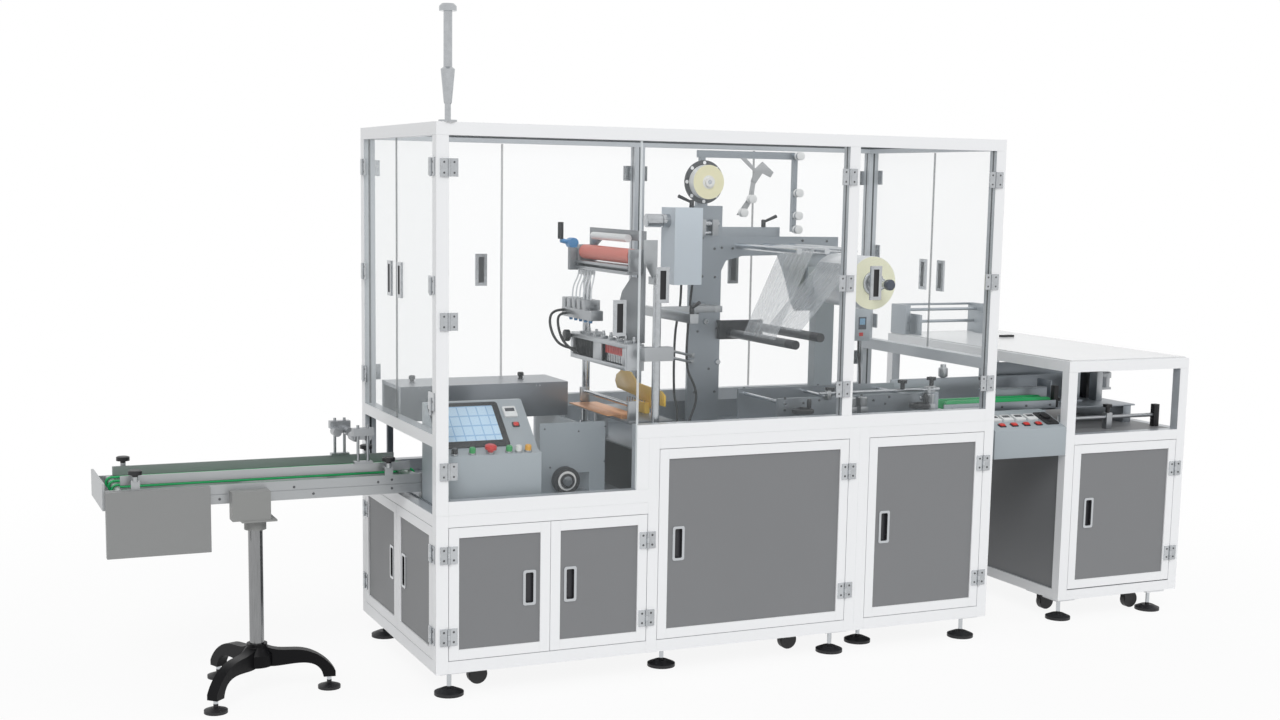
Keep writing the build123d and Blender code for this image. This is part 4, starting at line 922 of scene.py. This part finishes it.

# Black cups in the pulls of the clear guards, painted shade that fills the pulls' slots
CUP_HALF, CUP_TALL, CUP_GAP, CUP_RISE, CUP_Z = 10.9, 48.9, 0.2, 4.0, 1375
pull_cups = Form("guard_pull_cups", black_plastic)
for x, z in ((642, 1265), (800, CUP_Z), (1649, CUP_Z)):
    pull_cups.blocks((*about(x, CUP_HALF), -CUP_RISE, -CUP_GAP, *about(z, CUP_TALL)))
for x in (468, 1551):
    pull_cups.blocks((*about(x, CUP_HALF), DEPTH + CUP_GAP, DEPTH + CUP_RISE, *about(1380, CUP_TALL)))
for y in (399, 522):
    for x0, x1 in ((-CUP_RISE, -CUP_GAP), (LENGTH + CUP_GAP, LENGTH + CUP_RISE)):
        pull_cups.blocks((x0, x1, *about(y, CUP_HALF), *about(CUP_Z, CUP_TALL)))
pull_cups.done()

# Sealing station: columns, heater box with its two windows, roller head, manifold and tubes
SEAL_X, SEAL_FRONT, SEAL_REAR, SEAL_TOP = 829.0, 100.0, 737.0, 1397.0
ROLLER_X, ROLLER_Z, ROLLER_FRONT, ROLLER_REAR = 790.0, 1461.0, 222, 662
HEAD_FRONT, HEAD_REAR = 191.0, 690.0
HEAD_RUN = (HEAD_FRONT + 20, HEAD_REAR)
CRANK_X, CRANK_Y, CRANK_Z, CRANK_REACH = 764, HEAD_REAR + 50, 1490, 44
HANDLE_Y, HANDLE_Z = 650, 1148
PAN_UNDER, PAN_TOP, PAN_RAIL_Z = 880, 890, 944
STRIP_RUN, STRIP_TOP = (200, 560), 906
HEATER_FRONT, HEATER_REAR, HEATER_LOW, HEATER_TOP = 155.0, 664.0, 1066.0, 1158.0
HEATER_LEFT, HEATER_RIGHT, SHEET = 735, 808, 6
COMB_WINDOW, BLADE_WINDOW, WINDOW_Z = (181.0, 370.0), (445.0, 640.0), (1081.0, 1143.0)
bright = Form("station_columns", bright_steel)
cast = Form("station_blocks", alloy)
dark = Form("station_plates", arch_steel)
for y in (SEAL_FRONT, SEAL_REAR):
    bright.rod((SEAL_X, y, BED_TOP), (SEAL_X, y, SEAL_TOP), 15)
    bright.turned((SEAL_X, y, BED_TOP), UP, (0, 32), (18, 32), (22, 24), (34, 24))
    cast.blocks((SEAL_X - 54, SEAL_X + 57, *about(y, 22), 1105, 1153),
                (*about(SEAL_X, 24), *about(y, 24), SEAL_TOP - 26, SEAL_TOP))
bright.rod((SEAL_X - 30, SEAL_FRONT + 22, 1128), (SEAL_X - 30, SEAL_REAR - 22, 1128), 8)
heater = Form("heater_box", heater_alloy)
face_end, inner_right = HEATER_LEFT + SHEET, HEATER_RIGHT - SHEET
inner_low, inner_top = HEATER_LOW + SHEET, HEATER_TOP - SHEET
for z0, z1 in ((HEATER_LOW, WINDOW_Z[0]), (WINDOW_Z[1], HEATER_TOP)):
    heater.blocks((HEATER_LEFT, face_end, HEATER_FRONT, HEATER_REAR, z0, z1))
for y0, y1 in ((HEATER_FRONT, COMB_WINDOW[0]), (COMB_WINDOW[1], BLADE_WINDOW[0]),
               (BLADE_WINDOW[1], HEATER_REAR)):
    heater.blocks((HEATER_LEFT, face_end, y0, y1, *WINDOW_Z))
heater.blocks((face_end, HEATER_RIGHT, HEATER_FRONT, HEATER_REAR, HEATER_LOW, inner_low),
              (face_end, HEATER_RIGHT, HEATER_FRONT, HEATER_REAR, inner_top, HEATER_TOP),
              (inner_right, HEATER_RIGHT, HEATER_FRONT, HEATER_REAR, inner_low, inner_top))
for y0 in (HEATER_FRONT, HEATER_REAR - SHEET):
    heater.blocks((face_end, inner_right, y0, y0 + SHEET, inner_low, inner_top))
heater.done(edge=SHEET_EDGE)
TOOTH_PITCH = 15
blades = Form("heater_blades", black_enamel)
heater_pins = Form("heater_pins", bright_steel)
comb = Form("heater_comb", plastic("heater red", (0.66, 0.04, 0.03), 0.35))
for (y0, y1), low_teeth, high_teeth in ((COMB_WINDOW, heater_pins, comb), (BLADE_WINDOW, blades, blades)):
    blades.blocks((inner_right - SHEET, inner_right, y0 - 8, y1 + 8, *WINDOW_Z))
    for number in range(int((y1 - y0) / TOOTH_PITCH)):
        y = y0 + TOOTH_PITCH * (number + 0.5)
        low_teeth.blocks((749, 796, *about(y, 4), 1072, 1112))
        high_teeth.blocks((747, 796, *about(y, 5), 1112, 1152))
for form in (blades, comb, heater_pins):
    form.done()
cast.blocks((760, 818, *HEAD_RUN, SEAL_TOP, SEAL_TOP + 12),
            (760, 818, *HEAD_RUN, SEAL_TOP + 22, SEAL_TOP + 32))
dark.blocks((790, 814, *HEAD_RUN, SEAL_TOP + 12, SEAL_TOP + 22))
dark.plate_yz(818, 826, (HEAD_FRONT, 1158), (HEAD_FRONT, 1551), (HEAD_REAR, 1551), (HEAD_REAR, 1397),
              (640, 1397), (640, 1480), (600, 1500), (560, 1515), (230, 1515), (230, 1385), (300, 1385),
              (380, 1330), (430, 1240), (430, 1158))
for y0 in (HEAD_FRONT + 12, HEAD_REAR - 14):
    cast.blocks((766, 818, y0, y0 + 10, SEAL_TOP + 12, ROLLER_Z + 26))
dark.blocks((740, 815, HEAD_REAR, HEAD_REAR + 24, SEAL_TOP - 6, 1474))
cast.plate_xz(88, 94, (771, 1524), (822, 1524), (822, 1386), (808, 1386), (772, 1448))
cast.blocks((818, 822, 94, HEAD_FRONT + 1, 1460, 1480))
blue = Form("crank_clamp", plastic("clamp blue", (0.09, 0.30, 0.60), 0.35))
blue.rod((CRANK_X, HEAD_REAR + 24, CRANK_Z), (CRANK_X, HEAD_REAR + 62, CRANK_Z), 20)
blue.rod((CRANK_X, CRANK_Y, CRANK_Z), (CRANK_X - CRANK_REACH, CRANK_Y, CRANK_Z + 10), 9)
for y in (213, ROLLER_REAR):
    blue.rod((ROLLER_X, y, ROLLER_Z), (ROLLER_X, y + 8, ROLLER_Z), 22)
handle = Form("station_handles", black_plastic)
handle.rod((CRANK_X - CRANK_REACH, CRANK_Y, CRANK_Z + 15), (CRANK_X - CRANK_REACH, CRANK_Y, CRANK_Z + 78), 11)
handle.rod((HEATER_LEFT, HANDLE_Y, HANDLE_Z), (722, HANDLE_Y, HANDLE_Z), 7)
handle.rod((722, HANDLE_Y, HANDLE_Z), (704, HANDLE_Y, HANDLE_Z), 22)
MANIFOLD = (1217, 1254)
manifold = Form("air_manifold", alloy)
manifold.blocks((SEAL_X - 106, SEAL_X - 56, 445, 728, *MANIFOLD),
                (SEAL_X - 60, SEAL_X - 4, 690, 728, *MANIFOLD))
manifold.done(edge=CASE_EDGE)
valves = Form("valve_heads", alloy)
for y in range(488, 728, 48):
    valves.blocks((SEAL_X - 112, SEAL_X - 50, y, y + 30, MANIFOLD[1], 1290))
    blue.turned((748, y + 15, 1204), UP, (0, 6), (10, 8), (14, 8))
for y in range(190, 666, 68):
    cast.blocks((752, 772, y, y + 16, HEATER_TOP, HEATER_TOP + 10))
    cast.turned((787, y + 8, HEATER_TOP), UP, (0, 7), (12, 7), (12, 5), (22, 5))
bright.rod((760, 145, PAN_RAIL_Z), (760, 577, PAN_RAIL_Z), 8)
cast.blocks((742, 778, 136, 146, PAN_TOP, 960), (742, 778, 577, 587, PAN_TOP, 960))
dark.blocks((742, 912, 130, 592, PAN_UNDER, PAN_TOP))
for y in (160.0, 560.0):
    cast.blocks((800, 850, y, y + 24, BED_TOP, PAN_UNDER))
for x in (883, 893):
    for y in range(330, 480, 22):
        bright.rod((x, y, PAN_TOP), (x, y, PAN_TOP + 44), 3, sides=8)
for form in (blue, handle, bright):
    form.done()
roller = Form("seal_roller_turned", red_rubber)
roller.rod((ROLLER_X, ROLLER_FRONT, ROLLER_Z), (ROLLER_X, ROLLER_REAR, ROLLER_Z), 27, sides=40)
roller.done("seal_roller")
paper = Form("release_roll", plastic("release sheet", (0.86, 0.88, 0.89), 0.3))
paper.rod((804, 300, 1522), (804, 620, 1522), 14, sides=32)
paper.done()
cams = Form("cam_plates", amber)
cams.plate_yz(900, 908, (180, 930), (180, 968), (210, 982), (420, 990), (480, 1022), (560, 1024), (610, 1000),
              (620, 975), (600, 950), (430, 940), (400, 908), (300, 908), (280, 930))
cams.blocks((880, 900, 300, 400, PAN_TOP, 930))
cams.done("sealer_cams", edge=CASE_EDGE)
strips = Form("folding_strips", copper)
strips.blocks((690, 742, *STRIP_RUN, STRIP_TOP - 4, STRIP_TOP), (742, 800, *STRIP_RUN, PAN_TOP, STRIP_TOP))
strips.done("folder_plates", edge=PLATE_EDGE)
valves.done(edge=BLOCK_EDGE)
cast.done("sealing_station", edge=SHEET_EDGE)
dark.done(edge=PLATE_EDGE)


def hose(name, finish, radius, runs):
    """Short fixed hoses and tubes, each drawn smoothly through its points."""
    line = bpy.data.curves.new(name, "CURVE")
    line.dimensions = "3D"
    line.bevel_depth = radius / MM
    line.bevel_resolution = 2
    line.resolution_u = 6
    line.use_fill_caps = True
    for run in runs:
        spline = line.splines.new("NURBS")
        spline.points.add(len(run) - 1)
        for point, stop in zip(spline.points, run):
            point.co = (*place(*stop), 1)
        spline.order_u = 3
        spline.use_endpoint_u = True
    drawn = stand(name + "_line", line)
    mesh = bpy.data.meshes.new_from_object(drawn.evaluated_get(bpy.context.evaluated_depsgraph_get()))
    bpy.data.objects.remove(drawn)
    mesh.materials.clear()
    mesh.materials.append(finish)
    mesh.shade_smooth()
    piece = stand(name, mesh)
    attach(piece, "machine")


HOSE_END = BED_TOP - 1
hose("air_tubes", clear_tube, 3.0, [
    [(748, y, 1289), (748, y, 1330), (770, end_y, 1372), (770, end_y, 1398)]
    for y, end_y in zip(range(503, 684, 36), range(525, 676, 30))])
hose("black_hoses", black_rubber, 5.0, [
    [(724, 708, 1240), (680, 708, 1240), (660, 700, 1200), (664, 660, 1140), (690, 628, 1106),
     (738, 620, 1100)],
    [(724, 680, 1230), (690, 680, 1230), (684, 670, 1180), (700, 640, 1110), (738, 590, 1085)],
    [(1258, 700, 1335), (1258, 715, 1270), (1260, 735, 1180), (1254, 738, 1000), (1290, 722, 930),
     (1300, 722, 870), (1275, 730, 800), (1268, 730, HOSE_END)],
    [(1200, 680, 1335), (1200, 680, 1240), (1180, 690, 1160), (1185, 700, 900), (1200, 690, 850),
     (1200, 690, HOSE_END)],
    [(2100, 825, 1085), (2100, 825, 1030), (2118, 832, 960), (2118, 832, HOSE_END)]])

# Rails and links from the station to the column, the column's back plate and its clamps
rails = Form("station_links", alloy)
rails.blocks((1290, 1320, 560, 750, 1232, 1256), (1018, 1290, 560, 584, 1232, 1256),
             (985, 1018, 156, 597, 1227, 1260))
for z0, z1 in ((1140, 1048), (1116, 1022)):
    rails.rod((SEAL_X + 50, SEAL_FRONT + 6, z0), (1280, 746, z1), 5)
    rails.blocks((1270, 1292, 736, 750, *about(z1, 9)))
rails.done(edge=SHEET_EDGE)
backing = Form("column_backing", plate_steel)
backing.plate_xz(764, 772, (1388, 1430), (1492, 1430), (1492, 1500), (1675, 1500), (1675, 1553), (1388, 1553))
backing.plate_xz(764, 770, (1655, 1469), (1920, 1469), (1920, 1216), (1756, 1216), (1736, 1245), (1712, 1330),
                 (1690, 1390))
backing.done(edge=PLATE_EDGE)
levers = Form("clamp_levers", black_plastic)
levers.clamp_levers((1602, 768, 1553, 0), (1248, 700, 1628, 180), (1001, 176, 1260, -90))
levers.done()

# Film roll, the film drawn over the bars, and the tension arms
core = Form("film_roll_turned", film_roll_finish(), body="film_roll")
for start, sides, *levels in (
        (ROLL_FRONT, 72, (0, 40), (0, ROLL_RADIUS - 1), (2, ROLL_RADIUS), (ROLL_LENGTH - 2, ROLL_RADIUS),
         (ROLL_LENGTH, ROLL_RADIUS - 1)),
        (ROLL_FRONT - 10, 36, (0, 40), (3, 46), (10, 46)),
        (208, 20, (0, 12), (100, 12)),
        (255, 8, (0, 20), (4, 24), (26, 24), (30, 20)),
        (188, 10, (0, 17), (4, 21), (22, 21), (26, 14)),
        (ROLL_FRONT + ROLL_LENGTH, 20, (0, 16), (145, 16))):
    core.turned((ROLL_X, start, ROLL_Z), BACKWARD, *levels, sides=sides)
core.done("film_roll")


def web_outline(first, second, thick=1.0):
    """Film that touches two round rolls from above, each given as x, z and radius."""
    (x0, z0, r0), (x1, z1, r1) = first, second
    slope = math.atan2(z1 - z0, x1 - x0) + math.asin((r1 - r0) / math.hypot(x1 - x0, z1 - z0)) + math.pi / 2
    ends = [(x + math.cos(slope) * (r + lift), z + math.sin(slope) * (r + lift))
            for lift in (0.0, thick) for x, z, r in (first, second)]
    return ends[:2] + ends[:1:-1]


FILM_RUN, ARM_RUN = (335, 590), (746, 752)
webs = Form("film_webs", film_web_finish())
webs.plate_xz(*FILM_RUN, *web_outline((1550, 1160, 17.0), (ROLL_X, ROLL_Z, ROLL_RADIUS + 0.5)))
webs.plate_xz(*FILM_RUN, *web_outline((1445, 1135, 17.0), (1600, 1478, 12.0)))
webs.done("film_web")
arms = Form("tension_arms", silver_plastic)
arms.plate_xz(*ARM_RUN, (1504, 1824), (1549, 1784), (1580, 1811), (1630, 1770), (1617, 1750), (1580, 1766),
              (1551, 1725), (1529, 1733), (1545, 1770), (1520, 1790), (1480, 1824))
arms.plate_xz(*ARM_RUN, (1532, 1735), (1550, 1728), (1541, 1664), (1501, 1600), (1470, 1600), (1522, 1672))
arms.done(edge=HAIR_EDGE)
wheels = Form("tension_rollers", plastic("roller white", (0.78, 0.79, 0.79), 0.3))
ARM_ROLLERS = ((1522, 1664), (1486, 1610))
for x, z in (*ARM_ROLLERS, (1733, 1690), (1733, 1600), (1733, 1545), (1733, 1836)):
    wheels.turned((x, 708, z), BACKWARD, (0, 11), (2, 17), (6, 17), (9, 13), (20, 13), (23, 17), (27, 17),
                  (29, 12))
for x, z in ARM_ROLLERS:
    wheels.rod((x, 736, z), (x, 748, z), 4)
wheels.done()

# Product bed: front rods and regulators, and the handwheels on their screws
FRONT_ROD_Y, FRONT_ROD_Z, WHEEL_Y = 284, 940, 250
rods = Form("bed_rods", bright_steel)
rods.rod((1600, FRONT_ROD_Y, FRONT_ROD_Z), (2140, FRONT_ROD_Y, FRONT_ROD_Z), 6)
for x in (1460, 1730, 2070):
    rods.rod((x, 296, 905), (x, 634, 905), 7)
rods.done()
clamps = Form("bed_clamps", alloy)
for x in (1640.0, 2090.0):
    clamps.blocks((*about(x, 8), 278, 300, 915, 950))
regulators = Form("regulators", alloy)
for x in (1740.0, 1790.0, 2098.0):
    clamps.blocks((*about(x, 16), 266, 300, 850, 884))
    regulators.turned((x, 282, 884), UP, (0, 14), (8, 14), (8, 18), (34, 18), (38, 14))
clamps.done(edge=SHEET_EDGE)
regulators.done()
for number, x in (("1", 1510.0), ("2", 2030.0)):
    wheel = Form("handwheel_turned_" + number, black_plastic, body="bed_handwheel_" + number)
    wheel.turned((x, WHEEL_Y, 872.3), UP, (0, 38), (3, 42), (14, 42), (18, 38), (18, 26), (12, 24), (12, 12),
                 (24, 12), sides=40)
    wheel.turned((x + 26, WHEEL_Y, 888), UP, (0, 6), (6, 9), (32, 9), (38, 6))
    wheel.done("bed_handwheel_" + number)

# Infeed line: belt bed with its belts, pusher, guide plate, cross shaft, motor and knobs
LINE_START, LINE_LEFT, LINE_END = LENGTH + 0.3, 2150.3, 3161.0
LINE_FRONT, LINE_REAR, LINE_UNDER, LINE_TOP = 330, 640, 829, 835
SHAFT_Y, SHAFT_Z = 200, 808
MAGAZINE_FOOT = TABLE_TOP + 5
line_plates = Form("infeed_plates", plate_steel)
line_plates.blocks((LINE_START, 2748, LINE_FRONT, LINE_FRONT + 6, LINE_UNDER, 868),
                   (LINE_START, LINE_END, LINE_FRONT, LINE_REAR, LINE_UNDER, LINE_TOP),
                   (2678, 3101, 650, 700, 880, 886), (2458, 2778, 430, 436, LINE_TOP, 905),
                   (2458, 2778, 430, 470, 905, 909), (2818, 2998, 470, 560, LINE_TOP, 842),
                   (2828, 2834, 470, 560, 842, 930))
line_plates.plate_xz(LINE_REAR, LINE_REAR + 10, (LINE_LEFT, 856), (LINE_START, 856), (LINE_START, LINE_UNDER),
                     (LINE_END, LINE_UNDER), (LINE_END, 935), (LINE_LEFT, 935))
line_plates.plate_xz(700, 706, (2630, 864), (2630, 985), (3091, 985), (3121, 950), (3121, 864))
for x in (2680.0, 3120.0):
    line_plates.blocks((*about(x, 20), LINE_FRONT, LINE_REAR + 10, TABLE_DECK, 832))
line_plates.done("infeed_mechanism", edge=PLATE_EDGE)
belts = Form("infeed_belts", belt_green)
for y in (338.0, 400.0):
    belts.plate_xz(y, y + 14, (2228, LINE_TOP), (2216, 840), (2210, 858), (2216, 876), (2228, 881),
                   (2712, 881), (2724, 876), (2730, 858), (2724, 840), (2712, LINE_TOP))
belts.done(edge=BLOCK_EDGE)
line_knobs = Form("infeed_knobs", black_plastic)
line_knobs.star_knobs((2470, 450, 909, 36), (2788, 380, LINE_TOP, 22), (2908, SHAFT_Y, SHAFT_Z + 18, 22))
line_knobs.blocks((2742, 2764, 337, 360, LINE_TOP, 925), (3141, 3167, 188, 212, TABLE_DECK, 852),
                  (3090, 3150, 560, 604, LINE_TOP, 944))
line_knobs.clamp_levers((3086, 495, 960, -60))
line_knobs.done(edge=BLOCK_EDGE)
line_blocks = Form("infeed_blocks", alloy)
line_blocks.blocks((3071, 3101, 470, 520, LINE_TOP, 960), (3101, 3151, 474, 516, 880, 890))
line_blocks.turned((3125, 495, 890), UP, (0, 26), (40, 26), (40, 32), (62, 32), (66, 26))
line_blocks.turned((2406, 645, 935), UP, (0, 8), (6, 20), (40, 20), (44, 12), (56, 12))
line_blocks.rod((2680, SHAFT_Y, SHAFT_Z), (3142, SHAFT_Y, SHAFT_Z), 8)
for x in (2680, 2908):
    line_blocks.blocks((*about(x, 14), *about(SHAFT_Y, 14), TABLE_DECK, SHAFT_Z + 18))
line_blocks.done(edge=SHEET_EDGE)
screws("infeed_rail_bolts", [((x, LINE_FRONT, 849), OUT["front"]) for x in range(2240, 2721, 120)], 5, 3)
frames = Form("magazine_plates", plate_steel)
for x in (2624.0, 3050.0):
    frames.blocks((x, x + 26, 1272, 1392, MAGAZINE_FOOT, 1190))
for x in (2664.0, 3020.0):
    frames.blocks((x, x + 10, 1212, 1300, MAGAZINE_FOOT, 1150))
frames.blocks((2650, 3050, 1382, 1390, 1180, 1190))
for z in (1110.0, 1165.0):
    frames.rod((2648, 1332, z), (3052, 1332, z), 7)
frames.done("magazine", edge=SHEET_EDGE)
catch = Form("lid_catch", black_plastic)
catch.blocks((2990, 3060, 1040, 1062, MAGAZINE_FOOT, 1066))
catch.done(edge=CASE_EDGE)

# Drive motor and shafts beside the drive cover, and knobs on the bed's front rod
motor = Form("drive_motor", bright_steel)
motor.turned((1052, 700, 1577), RIGHTWARD, (0, 22), (3, 26), (60, 26), (62, 22), (66, 22), (68, 26), (98, 26))
for end, z, radius in ((1384, 1565, 11), (1350, 1530, 8)):
    motor.rod((1268, 735, z), (end, 735, z), radius)
motor.done()
holders = Form("drive_holders", alloy)
for x in (1296.0, 1350.0):
    holders.blocks((x, x + 26, 718, 750, 1520, 1582))
holders.blocks((2110, 2134, 300, 320, 925, 950))
holders.done(edge=BLOCK_EDGE)
bed_knobs = Form("bed_knobs", black_plastic)
bed_knobs.star_knobs((1971, FRONT_ROD_Y, FRONT_ROD_Z + 6, 22), (2122, 310, 950, 22), (1660, 305, 925, 22))
bed_knobs.done()

# Barrels of the hinges on the clear guards, and grips on the discharge hood
BARREL_HALF, BARREL_OUT, BARREL_RADIUS = 29, 6, 4.5
barrels = Form("guard_hinge_barrels", bright_steel)
for wall, u, heights in GUARD_HINGES:
    for z in heights:
        barrels.rod(*[on_wall(wall, u, BARREL_OUT, end) for end in about(z, BARREL_HALF)], BARREL_RADIUS)
barrels.done()
grips = Form("hood_grips", black_plastic)
for x in (136, 559):
    grips.turned((x, 728, 985), UP, (0, 8), (6, 8), (8, 12), (18, 12), (21, 9))
grips.done()

# White surroundings and soft studio light: what the camera sees directly or mirrored is brighter
LIGHT_LEVEL, SEEN_LEVEL = 0.50, 1.0
world = bpy.data.worlds.new("studio")
bpy.context.scene.world = world
world.use_nodes = True
world_nodes, world_links = world.node_tree.nodes, world.node_tree.links
world_nodes.clear()
path = world_nodes.new("ShaderNodeLightPath")
seen = path.outputs["Is Camera Ray"]
for kind in ("Is Transmission Ray", "Is Glossy Ray"):
    either = world_nodes.new("ShaderNodeMath")
    either.operation = "MAXIMUM"
    world_links.new(seen, either.inputs[0])
    world_links.new(path.outputs[kind], either.inputs[1])
    seen = either.outputs[0]
sky = world_nodes.new("ShaderNodeMix")
sky.data_type = "FLOAT"
sky.inputs[2].default_value = LIGHT_LEVEL
sky.inputs[3].default_value = SEEN_LEVEL
world_links.new(seen, sky.inputs[0])
background = world_nodes.new("ShaderNodeBackground")
background.inputs["Color"].default_value = (1, 1, 1, 1)
world_links.new(sky.outputs[0], background.inputs["Strength"])
world_links.new(background.outputs[0], world_nodes.new("ShaderNodeOutputWorld").inputs[0])

for name, strength, direction in (("key", 1.25, (0.35, 0.8, -0.7)), ("fill", 0.4, (-0.7, 0.3, -0.5))):
    lamp_data = bpy.data.lights.new(name, "SUN")
    lamp_data.energy = strength
    lamp_data.angle = math.radians(30)
    lamp = stand(name, lamp_data)
    lamp.rotation_mode = "QUATERNION"
    lamp.rotation_quaternion = Vector(direction).to_track_quat("-Z", "Y")

# A pale floor that grows fully white away from the machine
REACH = 30
FLOOR_GLOW = 0.90
FADE_START, FADE_END = 1600.0, 4500.0
floor_mesh = bpy.data.meshes.new("floor")
floor_mesh.from_pydata([(-REACH, -REACH, 0), (REACH, -REACH, 0), (REACH, REACH, 0), (-REACH, REACH, 0)],
                       [], [(0, 1, 2, 3)])
floor = stand("floor", floor_mesh)
ground = Finish("pale floor")
ray, mirrored, through = [ground.node("LightPath", output="Is " + kind + " Ray")
                          for kind in ("Camera", "Glossy", "Transmission")]
matt = ground.node("BsdfDiffuse", sockets={"Color": (0.9, 0.9, 0.9)})
glow = ground.node("Emission", sockets={"Color": (1, 1, 1), "Strength": 1.0})
ground_x, ground_y, ground_z = ground.axes()
away = ground.around(ground_x - LENGTH / 2, ground_y - DEPTH / 2)
share = ground.node("MapRange", {"interpolation_type": "SMOOTHSTEP"},
                    {0: away, 1: FADE_START, 2: FADE_END, 3: FLOOR_GLOW, 4: 1.0})
both = ground.node("MixShader", sockets={0: (ray | mirrored | through) * share, 1: matt, 2: glow})
ground.tree.links.new(both.socket, ground.end.inputs["Surface"])
floor_mesh.materials.append(ground.material)
floor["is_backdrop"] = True

bpy.context.scene.view_settings.view_transform = "Standard"

low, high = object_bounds()
